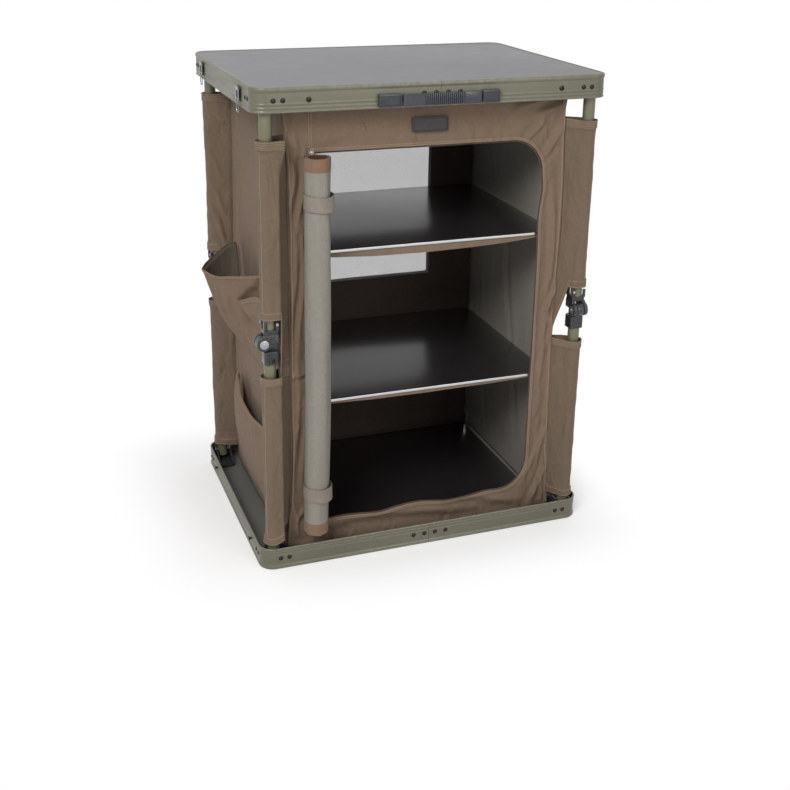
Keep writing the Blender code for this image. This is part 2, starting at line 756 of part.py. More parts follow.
def sleeve(sx, sy, low, high):
    """One of the eight loops of cloth, two to a leg, that hold the cabinet to the legs."""
    bm = bmesh.new()
    outer = sleeve_outline(sx, sy, SLEEVE_RADIUS, 0.0012, 0.0004)
    inner = sleeve_outline(sx, sy, SLEEVE_BORE, 0.0003, 0.0030)
    levels = ((outer, low), (outer, high), (inner, high), (inner, low))
    skin(bm, [ring(bm, points, z) for points, z in levels])
    return finish(bm, "sleeve")


def door_roll():
    """The door, rolled up and hung by its left edge, a little slack towards the bottom."""
    bm = bmesh.new()
    steps = 12
    rings = []
    for k in range(steps + 1):
        share = k / steps
        slack = 1.0 - 0.03 * math.sin(2.5 * math.pi * share)
        outline = []
        for x, y in arc((0, 0), ROLL_RADIUS * slack, 0, 360, ROUND)[:-1]:
            outline.append((ROLL_X + x * (0.97 + 0.03 * share), ROLL_Y + y))
        rings.append(ring(bm, outline, ROLL_BOTTOM + (ROLL_TOP - ROLL_BOTTOM) * share))
    skin(bm, rings, capped=True)
    return finish(bm, "door_roll")


def door_strap(level):
    """A strap round the rolled door."""
    bm = bmesh.new()
    inside, outside = ROLL_RADIUS * 1.03 + 0.0006, ROLL_RADIUS * 1.03 + 0.0018
    low, high = level - STRAP_WIDTH / 2, level + STRAP_WIDTH / 2
    rings = []
    for radius, z in ((outside, low), (outside, high), (inside, high), (inside, low)):
        rings.append(ring(bm, arc((ROLL_X, ROLL_Y), radius, 0, 360, ROUND)[:-1], z))
    skin(bm, rings)
    return finish(bm, "door_strap")


def badge():
    """The bare rubber plate sewn to the front, above the door."""
    bm = bmesh.new()
    x, z = BADGE_CENTRE
    half_x, half_z = BADGE_SIZE[0] / 2, BADGE_SIZE[1] / 2
    soft_box(bm, (x - half_x, -0.1914, z - half_z), (x + half_x, -0.1892, z + half_z), 0.0007, 1)
    return finish(bm, "badge")


def zip_slider():
    """The door zip's metal slider, parked at the top of the rolled door."""
    bm = bmesh.new()
    soft_box(bm, (-0.204, -0.1920, DOOR_TOP + 0.002), (-0.196, -0.1894, DOOR_TOP + 0.0145), 0.0007, 1)
    return finish(bm, "zip_slider")


def spread(places, share):
    """A place along a polyline of (y, z) points, at an even share of its points."""
    at = share * (len(places) - 1)
    k = min(int(at), len(places) - 2)
    return Vector(places[k]).lerp(Vector(places[k + 1]), at - k)


def upper_pocket():
    """The large pocket on the left wall, whose rim gapes and whose cloth tapers to a slanting seam."""
    rim = [(0.150, 0.474), (0.095, 0.455), (0.040, 0.455), (-0.060, 0.474), (-0.165, 0.492)]
    seam = [(0.148, 0.462), (0.105, 0.385), (0.035, 0.320), (-0.060, 0.292), (-0.163, 0.288)]

    def point(s, t):
        y, z = spread(rim, s).lerp(spread(seam, s), t)
        out = UPPER_POCKET_OUT * math.sin(math.pi * s ** 0.75) ** 0.8 * (1 - t) ** 1.15
        return (POCKET_WALL_X - FABRIC - out, y, z), (1, 0, 0)

    return sheet(12, 6, point)


def lower_pocket():
    """The lower pocket on the left wall: a bellied pouch whose opening dips towards the front."""
    rim = [(0.150, 0.226), (0.120, 0.190), (0.070, 0.168), (-0.040, 0.184), (-0.165, 0.190)]
    seam = [(0.165, 0.046), (0.110, 0.045), (0.040, 0.045), (-0.060, 0.045), (-0.165, 0.046)]

    def point(s, t):
        y, z = spread(rim, s).lerp(spread(seam, s), t)
        belly = math.sin(math.pi * (0.22 + 0.78 * t)) ** 0.7 if t < 1 else 0.0
        out = LOWER_POCKET_OUT * math.sin(math.pi * s) ** 0.6 * belly
        return (POCKET_WALL_X - FABRIC - out, y, z), (1, 0, 0)

    return sheet(10, 6, point)


# Putting the cupboard together

def build_base():
    add("base_frame", fused(tray_rim(), rim_rivets()), "olive_metal")
    add("base_panel", tray_panel(), "floor_grey")
    add("base_splice", splice_plate(), "steel")
    add("bottom_board", board(BOARD_TOP), "black_board")
    side = WIDTH / 2 - WALL_FACE + GAP
    one_bracket = bracket()
    for name, sx, sy, turns in CORNERS:
        stud = moved(catch_stud(sx), (sx * side, sy * LATCH_PLACE, RIVET_LEVEL))
        add("catch_" + name, stud, "steel")
        foot = (sx * LEG_X, sy * LEG_Y, PIVOT_HEIGHT)
        add_turned("base_bracket_" + name, one_bracket, "black_plastic", turns, foot)


def build_legs():
    """Eight leg halves with their knuckles. Returns the empty on the top tray's hinge."""
    lower = tube(-TUBE_TAIL, HALF_LEG - TUBE_IN_KNUCKLE, 0.0)
    upper = tube(TUBE_IN_KNUCKLE, HALF_LEG + TUBE_TAIL, HALF_LEG)
    socket, clevis, pin = lower_socket(), upper_clevis(), knuckle_pin()
    top_hinge = None
    for name, sx, sy, turns in CORNERS:
        foot = Vector((sx * LEG_X, sy * LEG_Y, PIVOT_HEIGHT))
        level = foot + Vector((0, 0, HALF_LEG))
        knee = level + Matrix.Rotation(turns * math.pi / 2, 3, "Z") @ Vector((-KNUCKLE_OFFSET, 0, 0))
        base_axis = add_axis("base_hinge_" + name, foot)
        knee_axis = add_axis("knuckle_" + name, knee, base_axis)
        add_turned("lower_tube_" + name, lower, "olive_metal", turns, foot, base_axis)
        add_turned("lower_socket_" + name, socket, "black_plastic", turns, level, base_axis)
        add_turned("upper_tube_" + name, upper, "olive_metal", turns, level, knee_axis)
        add_turned("upper_clevis_" + name, clevis, "black_plastic", turns, level, knee_axis)
        add_turned("knuckle_pin_" + name, pin, "steel", turns, knee, knee_axis)
        if top_hinge is None:
            top_hinge = add_axis("top_hinge_" + name, level + Vector((0, 0, HALF_LEG)), knee_axis)
    return top_hinge


def build_top(hinge):
    """The top tray is the base tray turned over, hung from the front left leg's upper hinge."""
    lift = (0, 0, HEIGHT)
    rim = fused(tray_rim(), rim_rivets(), rim_screws(), latch_plates())
    add("top_frame", moved(flipped(rim), lift), "olive_metal", hinge)
    add("top_panel", moved(flipped(tray_panel()), lift), "grey_panel", hinge)
    add("top_splice", moved(flipped(splice_plate()), lift), "steel", hinge)
    one_bracket = flipped(bracket())
    for name, sx, sy, turns in CORNERS:
        head = (sx * LEG_X, sy * LEG_Y, HEIGHT - PIVOT_HEIGHT)
        add_turned("top_bracket_" + name, one_bracket, "black_plastic", turns, head, hinge)
        middle = WIDTH / 2 - WALL_FACE + LATCH_PLATE_THICKNESS + GAP + LATCH_THICKNESS / 2
        axis = add_axis("latch_axis_" + name, (sx * middle, sy * LATCH_PLACE, HEIGHT - LATCH_AXIS_DROP), hinge)
        add("latch_" + name, latch(sx, sy), "steel", axis)
    add("handle_cap_left", handle_cap(LEFT_CAP), "black_plastic", hinge)
    add("handle_cap_right", handle_cap(RIGHT_CAP), "black_plastic", hinge)
    add("handle_strap", handle_strap(), "black_plastic", hinge)


def build_shelves():
    shelves = (("upper", UPPER_SHELF_TOP, UPPER_SLING_SAG), ("middle", MIDDLE_SHELF_TOP, MIDDLE_SLING_SAG))
    for name, top, sag in shelves:
        guide = add_axis("shelf_slide_" + name, (0, 0, top))
        add(name + "_shelf", board(top), "black_board", guide)
        add(name + "_sling", sling(top, sag), "brown_fabric", guide)


def build_cover():
    """The cloth. The rolled door slides back over the rail, and the trim sinks, as the cupboard folds."""
    add("cabinet_fabric", cabinet(), "brown_fabric")
    add("window_net", window_net(), "net")
    tuck = add_axis("door_tuck_slide", (ROLL_X, ROLL_Y, ROLL_BOTTOM))
    add("rolled_door", door_roll(), "lining", tuck)
    add("door_strap_lower", door_strap(STRAP_LEVELS[0]), "lining", tuck)
    add("door_strap_upper", door_strap(STRAP_LEVELS[1]), "lining", tuck)
    guide = add_axis("front_trim_slide", (0, -COVER_HALF_Y, BADGE_CENTRE[1]))
    add("zip_slider", zip_slider(), "steel", guide)
    add("badge", badge(), "rubber", guide)
    add("upper_pocket", upper_pocket(), "brown_fabric")
    add("lower_pocket", lower_pocket(), "brown_fabric")


for old in list(bpy.data.objects):
    bpy.data.objects.remove(old)
build_base()
build_top(build_legs())
build_shelves()
build_cover()
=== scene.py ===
import math

import bmesh
import bpy
from mathutils import Matrix, Vector, noise


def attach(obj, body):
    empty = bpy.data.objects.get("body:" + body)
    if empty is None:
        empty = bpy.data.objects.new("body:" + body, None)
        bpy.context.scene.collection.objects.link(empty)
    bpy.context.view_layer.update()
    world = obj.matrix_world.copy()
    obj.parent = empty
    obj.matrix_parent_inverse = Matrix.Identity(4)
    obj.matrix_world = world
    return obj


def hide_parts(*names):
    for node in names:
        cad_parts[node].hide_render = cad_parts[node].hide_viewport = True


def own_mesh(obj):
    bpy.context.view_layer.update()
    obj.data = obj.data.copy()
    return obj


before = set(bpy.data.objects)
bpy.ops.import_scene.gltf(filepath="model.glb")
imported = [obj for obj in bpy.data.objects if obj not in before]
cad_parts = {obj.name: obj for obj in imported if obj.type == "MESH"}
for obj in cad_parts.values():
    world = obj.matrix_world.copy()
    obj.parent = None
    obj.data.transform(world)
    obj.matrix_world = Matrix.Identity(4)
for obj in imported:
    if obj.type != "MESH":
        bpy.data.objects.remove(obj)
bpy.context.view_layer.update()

# The viewpoint. A camera on a stand, in front of the cupboard and to its left, a little above the top
# tray and level but for a slight roll, with the lens shifted so that the cupboard stands high in the frame.
bearing, rise, roll = (math.radians(angle) for angle in (-20.0491, 19.0024, 0.8304))
away = Vector((math.sin(bearing) * math.cos(rise), -math.cos(bearing) * math.cos(rise), math.sin(rise)))
across = (-away).cross(Vector((0, 0, 1))).normalized()
above = across.cross(-away)
camera_axes = Matrix((
    across * math.cos(roll) + above * math.sin(roll),
    above * math.cos(roll) - across * math.sin(roll),
    away,
)).transposed().to_4x4()
lens = bpy.data.cameras.new("photo_camera")
lens.sensor_width = 36.0
lens.lens = 53.575
lens.shift_x, lens.shift_y = 0.0114, -0.1228
lens.clip_end = 50.0
camera = bpy.data.objects.new("photo_camera", lens)
camera.matrix_world = Matrix.Translation((-0.7023, -1.9143, 1.0884)) @ camera_axes
bpy.context.collection.objects.link(camera)
bpy.context.scene.camera = camera

# The two tray rims. Each is one length of extruded aluminium with a powder coat of olive, bent round
# four corners and closed by a seam in the front rail. The top rim is the base rim turned over.
WIDTH, DEPTH, HEIGHT = 0.600, 0.445, 0.815
RIM_CORNER = 0.026
RIM_CORNER_STEPS = 14
SEAM_X = 0.0020
SEAM_HALF = 0.00025
RIM_SECTION = (
    (0.0050, 0.0014), (0.0044, 0.0004), (0.0032, 0.0000), (0.0016, 0.0002), (0.0006, 0.0009),
    (0.0001, 0.0020), (0.0000, 0.0052), (0.0004, 0.0066), (0.0010, 0.0074), (0.0013, 0.0082),
    (0.0011, 0.0094), (0.0010, 0.0230), (0.0009, 0.0241), (0.0006, 0.0247), (0.0005, 0.0258),
    (0.0006, 0.0266), (0.0010, 0.0272), (0.0010, 0.0300), (0.0006, 0.0306), (0.0005, 0.0316),
    (0.0006, 0.0326), (0.0010, 0.0332), (0.0010, 0.0350), (0.0004, 0.0358), (0.0000, 0.0368),
    (0.0001, 0.0380), (0.0008, 0.0388), (0.0018, 0.0390), (0.0026, 0.0386), (0.0028, 0.0376),
    (0.0028, 0.0075), (0.0090, 0.0075), (0.0090, 0.0052), (0.0050, 0.0052),
)


def srgb(red, green, blue):
    """A colour as it is seen, in steps of 0 to 255, as a shader takes it."""
    return tuple(((step / 255 + 0.055) / 1.055) ** 2.4 for step in (red, green, blue)) + (1.0,)


def node(tree, kind, inputs=None, **settings):
    """A shader node with its settings made, and its inputs given as values or as other nodes' outputs."""
    made = tree.nodes.new("ShaderNode" + kind)
    for key, value in settings.items():
        setattr(made, key, value)
    for key, value in (inputs or {}).items():
        if isinstance(value, bpy.types.NodeSocket):
            tree.links.new(value, made.inputs[key])
        else:
            made.inputs[key].default_value = value
    return made


def new_finish(name, roughness, metallic=0.0, specular=0.5):
    """A new material, with its tree, its shader and its Object coordinates."""
    made = bpy.data.materials.new(name)
    made.use_nodes = True
    tree = made.node_tree
    shader = tree.nodes["Principled BSDF"]
    shader.inputs["Roughness"].default_value = roughness
    shader.inputs["Metallic"].default_value = metallic
    shader.inputs["Specular IOR Level"].default_value = specular
    return made, tree, shader, node(tree, "TexCoord").outputs["Object"]


def shade(colour, factor, lift=0.0):
    """A colour made darker or lighter."""
    return [c * factor + lift for c in colour[:3]] + [1.0]


def speckle(tree, place, scale, low, high, detail=3.0, stretch=(1, 1, 1)):
    """Noise as a value from low to high, at a scale in features to the metre, stretched along an axis."""
    if stretch != (1, 1, 1):
        place = node(tree, "Mapping", {"Vector": place, "Scale": stretch}).outputs["Vector"]
    grain = node(tree, "TexNoise", {"Vector": place, "Scale": scale, "Detail": detail})
    spread = node(tree, "MapRange", {
        "Value": grain.outputs["Fac"], "From Min": 0.3, "From Max": 0.7, "To Min": low, "To Max": high,
    })
    return spread.outputs["Result"]


def between(tree, share, one, other):
    """A colour between two, by a share from 0 to 1."""
    mixed = node(tree, "Mix", data_type="RGBA")
    for socket, value in zip((mixed.inputs[0], mixed.inputs[6], mixed.inputs[7]), (share, one, other)):
        if isinstance(value, bpy.types.NodeSocket):
            tree.links.new(value, socket)
        else:
            socket.default_value = value
    return mixed.outputs[2]


def sums(tree, one, other, operation="ADD"):
    """Two values put together by a sum or another operation."""
    return node(tree, "Math", {0: one, 1: other}, operation=operation).outputs["Value"]


def edges_worn_and_lit(tree, low, high, most):
    """A value from 0 on flat faces to the most on sharp edges, between two steps of how sharp they are."""
    return node(tree, "MapRange", {
        "Value": node(tree, "NewGeometry").outputs["Pointiness"],
        "From Min": low, "From Max": high, "To Min": 0.0, "To Max": most,
    }).outputs["Result"]


def relief(tree, shader, height, depth, under=None):
    """Raises the surface by a height from 0 to 1, at a depth in metres, on another relief or none."""
    inputs = {"Height": height, "Distance": depth, "Strength": 1.0}
    if under is not None:
        inputs["Normal"] = under
    bump = node(tree, "Bump", inputs)
    tree.links.new(bump.outputs["Normal"], shader.inputs["Normal"])


def paint(tree, shader, colour, gloss):
    """Gives a shader a colour and a roughness that other nodes make."""
    tree.links.new(colour, shader.inputs["Base Color"])
    tree.links.new(gloss, shader.inputs["Roughness"])


def coated_metal(name, colour, edge_colour, roughness, metallic, specular):
    """Powder coat on aluminium: orange-peel skin, faint drag marks, and sharp edges paler, as wear and
    painted highlight.
    """
    made, tree, shader, place = new_finish(name, roughness, metallic, specular)
    patchy = between(tree, speckle(tree, place, 14.0, 0.0, 1.0), colour, shade(colour, 0.86))
    fine = between(tree, speckle(tree, place, 900.0, 0.0, 0.30), patchy, shade(colour, 1.35))
    edge_patches = speckle(tree, place, 160.0, 0.2, 1.0)
    # Sharp edges and the rims' ridges are painted paler in patches: partly bare metal where the coat wears,
    # partly painted highlight.
    wear_and_highlight = sums(tree, edges_worn_and_lit(tree, 0.53, 0.62, 0.42), edge_patches, "MULTIPLY")
    gloss = speckle(tree, place, 60.0, roughness - 0.06, roughness + 0.08, stretch=(0.15, 0.15, 1.0))
    paint(tree, shader, between(tree, wear_and_highlight, fine, edge_colour), gloss)
    relief(tree, shader, speckle(tree, place, 1400.0, 0.0, 1.0, 2.0), 0.00003)
    return made


def as_mesh(bm, name):
    """A mesh of what is in a bmesh, which is freed."""
    mesh = bpy.data.meshes.new(name)
    bm.to_mesh(mesh)
    bm.free()
    return mesh


def piece(name, bm, finishes, body, replaced=(), sharp=35, recalculated=True):
    """Makes a piece of a bmesh, in its finishes, riding on a body, in place of the CAD nodes named."""
    if recalculated:
        bmesh.ops.recalc_face_normals(bm, faces=bm.faces)
    mesh = as_mesh(bm, name)
    for finish in finishes:
        mesh.materials.append(finish)
    mesh.shade_smooth()
    mesh.set_sharp_from_angle(angle=math.radians(sharp))
    made = bpy.data.objects.new(name, mesh)
    bpy.context.collection.objects.link(made)
    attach(made, body)
    if replaced:
        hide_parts(*replaced)
    return made


def turn_over(bm):
    """Turns a piece of the base tray over, to be the same piece of the top tray."""
    bmesh.ops.scale(bm, vec=(1, 1, -1), verts=bm.verts)
    bmesh.ops.translate(bm, vec=(0, 0, HEIGHT), verts=bm.verts)


def new_ones(geometry, kind):
    """Those of an operator's new parts that are of one kind."""
    return [part for part in geometry if isinstance(part, kind)]


def closed_line(bm, verts):
    """Edges from each vertex to the next, and from the last one to the first."""
    return [bm.edges.new((verts[k - 1], verts[k])) for k in range(len(verts))]


def extruded(bm, edges):
    """The new vertices and the new edges of a line of edges that is extruded, before they are moved."""
    grown = bmesh.ops.extrude_edge_only(bm, edges=edges)["geom"]
    return new_ones(grown, bmesh.types.BMVert), new_ones(grown, bmesh.types.BMEdge)


def bent_rim():
    """The rim's section, pushed along each rail and turned round each corner, from the seam back to it."""
    bm = bmesh.new()
    half_x, half_y = WIDTH / 2 - RIM_CORNER, DEPTH / 2 - RIM_CORNER
    section = [bm.verts.new((SEAM_X + SEAM_HALF, inset - DEPTH / 2, height)) for inset, height in RIM_SECTION]
    edges = closed_line(bm, section)
    bm.faces.new(section)
    rails = (
        (half_x - SEAM_X - SEAM_HALF, (1, 0, 0)), (2 * half_y, (0, 1, 0)), (2 * half_x, (-1, 0, 0)),
        (2 * half_y, (0, -1, 0)), (half_x + SEAM_X - SEAM_HALF, (1, 0, 0)),
    )
    corners = ((half_x, -half_y), (half_x, half_y), (-half_x, half_y), (-half_x, -half_y))
    for k, (length, way) in enumerate(rails):
        verts, edges = extruded(bm, edges)
        bmesh.ops.translate(bm, vec=Vector(way) * length, verts=verts)
        if k < 4:
            turned = bmesh.ops.spin(
                bm, geom=verts + edges, cent=(*corners[k], 0), axis=(0, 0, 1), angle=math.pi / 2,
                steps=RIM_CORNER_STEPS, use_merge=False,
            )["geom_last"]
            edges = new_ones(turned, bmesh.types.BMEdge)
    bmesh.ops.edgeloop_fill(bm, edges=edges)
    return bm


# The second colour of each coat is painted on its sharp edges: worn metal and painted highlight.
olive_coat = coated_metal("olive_coat", srgb(92, 90, 74), srgb(160, 158, 148), 0.38, 0.12, 0.45)
base_rim = piece("base_rim", bent_rim(), [olive_coat], "base", ["base_frame"], sharp=50)
bm = bent_rim()
turn_over(bm)
top_rim = piece("top_rim", bm, [olive_coat], "top_tray", ["top_frame"], sharp=50)

# The two tray panels. Composite boards faced with grey laminate, the top one lighter, held in the rim's
# groove. The top board lies a millimetre below the rim's lip, which shows round it as a thin line.
PANEL_INSET = 0.0053
PANEL_LEVELS = (0.0002, 0.0049)
TOP_PANEL_RECESS = 0.0010


def laminate(name, colour, other, roughness, grain, depth, specular=0.5, uneven=0.04):
    """Pressed laminate: a close pebble grain, a little uneven in tone and gloss."""
    made, tree, shader, place = new_finish(name, roughness, specular=specular)
    cloudy = between(tree, speckle(tree, place, 7.0, 0.0, 1.0), colour, other)
    fine = speckle(tree, place, grain, 0.0, 1.0, 2.0)
    pebbled = between(tree, sums(tree, fine, 0.16, "MULTIPLY"), cloudy, other)
    paint(tree, shader, pebbled, speckle(tree, place, 30.0, roughness - uneven, roughness + uneven))
    relief(tree, shader, fine, depth)
    return made


def slab(low, high, corner, edge, edge_finish=0):
    """A board: a block with round corners, and its top and bottom edges eased."""
    bm = bmesh.new()
    low, high = Vector(low), Vector(high)
    place = Matrix.Translation((low + high) / 2) @ Matrix.Diagonal((*(high - low), 1.0))
    bmesh.ops.create_cube(bm, size=1.0, matrix=place)
    upright = [e for e in bm.edges if abs(e.verts[0].co.z - e.verts[1].co.z) > 0.0001]
    bmesh.ops.bevel(bm, geom=upright, offset=corner, segments=12, profile=0.5, affect="EDGES", material=-1)
    rims = [e for e in bm.edges if e.calc_face_angle() > 1.0]
    bmesh.ops.bevel(bm, geom=rims, offset=edge, segments=3, profile=0.5, affect="EDGES", material=-1)
    for face in bm.faces:
        if abs(face.normal.z) < 0.9:
            face.material_index = edge_finish
    return bm


top_laminate = laminate(
    "top_laminate", srgb(108, 108, 111), srgb(104, 104, 107), 0.46, 1500.0, 0.00003, 0.28, 0.02,
)
floor_laminate = laminate("floor_laminate", srgb(92, 91, 86), srgb(84, 84, 80), 0.50, 1500.0, 0.00004)
half_x, half_y = WIDTH / 2 - PANEL_INSET, DEPTH / 2 - PANEL_INSET
bm = slab(
    (-half_x, -half_y, HEIGHT - PANEL_LEVELS[1]), (half_x, half_y, HEIGHT - TOP_PANEL_RECESS),
    RIM_CORNER - PANEL_INSET, 0.0003,
)
top_board = piece("top_board", bm, [top_laminate], "top_tray", ["top_panel"])
bm = slab(
    (-half_x, -half_y, PANEL_LEVELS[0]), (half_x, half_y, PANEL_LEVELS[1]), RIM_CORNER - PANEL_INSET, 0.0003,
)
base_board = piece("base_board", bm, [floor_laminate], "base", ["base_panel"])

# The joining plates. A flat bar of bright plated steel behind each rim's seam, held by the four rivets
# of the front rail. It keeps its shape from the frame, and gets the brushed surface of rolled bar.
def bright_steel(name, colour, roughness, brushed=(1, 1, 1)):
    """Plated steel with fine marks along the way it was rolled or drawn."""
    made, tree, shader, place = new_finish(name, roughness, 1.0)
    marks = speckle(tree, place, 1100.0, 0.0, 1.0, 2.0, brushed)
    gloss = speckle(tree, place, 240.0, roughness - 0.07, roughness + 0.12, stretch=brushed)
    paint(tree, shader, between(tree, marks, colour, shade(colour, 0.80)), gloss)
    relief(tree, shader, marks, 0.00002)
    return made


rolled_steel = bright_steel("rolled_steel", srgb(190, 190, 190), 0.34, (0.04, 1.0, 1.0))
for name in ("base_splice", "top_splice"):
    for finish_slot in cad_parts[name].material_slots:
        finish_slot.material = rolled_steel

# The rivets. Domed steel heads, darkened, that hold the rims to their joining plates and to the leg
# brackets, and two larger screws on the top tray's front rail. The top tray's middle four sit a little
# higher on the rail than the others, and the handle's strap hides their lower halves.
RIVET_LEVEL = 0.0200
HANDLE_RIVET_LEVEL = 0.0180
JOINT_RIVETS = tuple(0.0040 + step * 0.0202 for step in (-1.5, -0.5, 0.5, 1.5))
BRACKET_RIVETS_X, BRACKET_RIVETS_Y = (0.2520, 0.2670), (0.1780, 0.1920)
RAIL_SCREW_X = 0.2120
RIVET_SECTION = (
    (0.0, -0.0005), (0.0040, -0.0005), (0.0041, 0.0001), (0.0036, 0.0003), (0.0031, 0.0003),
    (0.0030, 0.0008), (0.0024, 0.0014), (0.0013, 0.0017), (0.0, 0.0018),
)
SCREW_SECTION = (
    (0.0, -0.0005), (0.0042, -0.0005), (0.0043, 0.0005), (0.0036, 0.0013), (0.0023, 0.0015), (0.0018, 0.0006),
    (0.0, 0.0005),
)
RIM_FACE = 0.0010


def spin_round(bm, section, steps):
    """Spins a section right round Z, and joins what meets where it starts and on the axis."""
    bmesh.ops.spin(
        bm, geom=section, cent=(0, 0, 0), axis=(0, 0, 1), angle=2 * math.pi, steps=steps, use_merge=True,
    )
    bmesh.ops.remove_doubles(bm, verts=bm.verts, dist=0.00002)


def turned(section, steps=18):
    """A mesh spun about Z from a section of radii and heights that starts and ends on the axis."""
    bm = bmesh.new()
    verts = [bm.verts.new((radius, 0, height)) for radius, height in section]
    edges = [bm.edges.new(pair) for pair in zip(verts, verts[1:])]
    spin_round(bm, verts + edges, steps)
    bmesh.ops.recalc_face_normals(bm, faces=bm.faces)
    return as_mesh(bm, "turned")


def stamp(bm, mesh, place):
    """Adds a copy of a mesh, put in its place by a matrix."""
    copy = mesh.copy()
    copy.transform(place)
    bm.from_mesh(copy)
    bpy.data.meshes.remove(copy)


def facing_out(place, way):
    """The place of a part drawn along Z, set at a point and turned to face a way."""
    return Matrix.Translation(place) @ Vector(way).to_track_quat("Z", "Y").to_matrix().to_4x4()


def rim_rivets(middle_level):
    """One tray's rivets: those of the joint at a level of their own, and a pair on each face of a corner."""
    bm = bmesh.new()
    front, side = RIM_FACE - DEPTH / 2, WIDTH / 2 - RIM_FACE
    for x in JOINT_RIVETS:
        stamp(bm, rivet, facing_out((x, front, middle_level), (0, -1, 0)))
    for sx in (-1, 1):
        for sy in (-1, 1):
            for x in BRACKET_RIVETS_X:
                stamp(bm, rivet, facing_out((sx * x, sy * -front, RIVET_LEVEL), (0, sy, 0)))
            for y in BRACKET_RIVETS_Y:
                stamp(bm, rivet, facing_out((sx * side, sy * y, RIVET_LEVEL), (sx, 0, 0)))
    return bm


rivet = turned(RIVET_SECTION)
dark_steel = bright_steel("dark_steel", srgb(56, 54, 51), 0.24)
base_rivets = piece("base_rivets", rim_rivets(RIVET_LEVEL), [dark_steel], "base")
bm = rim_rivets(HANDLE_RIVET_LEVEL)
screw = turned(SCREW_SECTION)
for sx in (-1, 1):
    stamp(bm, screw, facing_out((sx * RAIL_SCREW_X, RIM_FACE - DEPTH / 2, RIVET_LEVEL), (0, -1, 0)))
turn_over(bm)
top_rivets = piece("top_rivets", bm, [dark_steel], "top_tray")

# The leg brackets. Black nylon channels moulded with a floor, two cheeks and stiffening ribs, riveted in
# the corners of both trays, each with the steel pin on which its leg tube turns.
LEG_X, LEG_Y = 0.275, 0.2025
PIVOT_HEIGHT = 0.0277
CORNERS = (
    ("front_left", -1, -1, 0), ("front_right", 1, -1, 1), ("back_right", 1, 1, 2), ("back_left", -1, 1, 3),
)
PIN_SECTION = (
    (0.0, -0.0158), (0.0030, -0.0156), (0.0045, -0.0150), (0.0045, -0.0141), (0.0025, -0.0140),
    (0.0025, 0.0140), (0.0045, 0.0141), (0.0045, 0.0150), (0.0030, 0.0156), (0.0, 0.0158),
)


def moulded(name, colour, roughness, grain, depth, specular=0.5):
    """Black moulded plastic: a spark-eroded grain, and sharp edges paler, as rubbing and painted highlight.
    """
    made, tree, shader, place = new_finish(name, roughness, specular=specular)
    skin = speckle(tree, place, grain, 0.0, 1.0, 3.0)
    # Sharp edges are painted paler, partly as rubbing and partly as painted highlight.
    wear_and_highlight = sums(tree, sums(tree, skin, 0.22, "MULTIPLY"), edges_worn_and_lit(tree, 0.52, 0.62, 0.7))
    gloss = speckle(tree, place, 90.0, roughness - 0.08, roughness + 0.10)
    paint(tree, shader, between(tree, wear_and_highlight, colour, shade(colour, 2.6, 0.006)), gloss)
    relief(tree, shader, skin, depth)
    return made


def block(bm, low, high, edge, segments=2):
    """A block with rounded edges, between two corners."""
    low, high = Vector(low), Vector(high)
    place = Matrix.Translation((low + high) / 2) @ Matrix.Diagonal((*(high - low), 1.0))
    verts = bmesh.ops.create_cube(bm, size=1.0, matrix=place)["verts"]
    edges = list({e for v in verts for e in v.link_edges})
    bmesh.ops.bevel(bm, geom=edges, offset=edge, segments=segments, profile=0.5, affect="EDGES", material=-1)


def plate(bm, outline, push, edge):
    """A plate pushed out from a flat outline, with its hard edges rounded."""
    face = bm.faces.new([bm.verts.new(point) for point in outline])
    pushed = new_ones(bmesh.ops.extrude_face_region(bm, geom=[face])["geom"], bmesh.types.BMVert)
    bmesh.ops.translate(bm, vec=push, verts=pushed)
    edges = {e for v in pushed for e in v.link_edges} | set(face.edges)
    bm.normal_update()
    hard = [e for e in edges if len(e.link_faces) == 2 and e.calc_face_angle() > 0.7]
    bmesh.ops.bevel(
        bm, geom=hard, offset=edge, segments=2, profile=0.5, affect="EDGES", material=-1,
        clamp_overlap=True,
    )


def leg_place(corner, height):
    """The place of a part drawn in a leg's own axes: folding towards +X, with its pins along Y."""
    _, sx, sy, turns = corner
    return Matrix.Translation((sx * LEG_X, sy * LEG_Y, height)) @ Matrix.Rotation(turns * math.pi / 2, 4, "Z")


def bracket():
    """One leg bracket, with its pin's axis through the origin."""
    bm = bmesh.new()
    floor, top = 0.0078 - PIVOT_HEIGHT, 0.0052
    block(bm, (-0.0130, -0.0139, floor), (0.0400, 0.0139, floor + 0.0030), 0.0004)
    cheek = ((-0.0130, floor), (0.0400, floor), (0.0400, floor + 0.0080), (0.0120, top), (-0.0130, top))
    for y in (-0.0140, 0.0120):
        plate(bm, [(x, y, z) for x, z in cheek], (0, 0.0020, 0), 0.0004)
    block(bm, (-0.0130, -0.0130, floor), (-0.0112, 0.0130, -0.0070), 0.0004)
    for x in (0.0185, 0.0265, 0.0345):
        block(bm, (x, -0.0128, floor + 0.0020), (x + 0.0014, 0.0128, floor + 0.0046), 0.0003)
    return bm


black_nylon = moulded("black_nylon", srgb(28, 29, 31), 0.27, 700.0, 0.00016, 0.55)
cap_steel = bright_steel("cap_steel", srgb(176, 177, 180), 0.28)
hinge_pin = turned(PIN_SECTION, 20)
bm = bracket()
bmesh.ops.recalc_face_normals(bm, faces=bm.faces)
one_bracket = as_mesh(bm, "bracket")
for corner in CORNERS:
    for tray, body in (("base", "base"), ("top", "top_tray")):
        bm, pins = bmesh.new(), bmesh.new()
        stamp(bm, one_bracket, leg_place(corner, PIVOT_HEIGHT))
        stamp(pins, hinge_pin, leg_place(corner, PIVOT_HEIGHT) @ Matrix.Rotation(math.pi / 2, 4, "X"))
        if tray == "top":
            turn_over(bm)
            turn_over(pins)
        name = tray + "_bracket_" + corner[0]
        channel = piece(name + "_channel", bm, [black_nylon], body, [name])
        piece(name + "_pin", pins, [cap_steel], body)

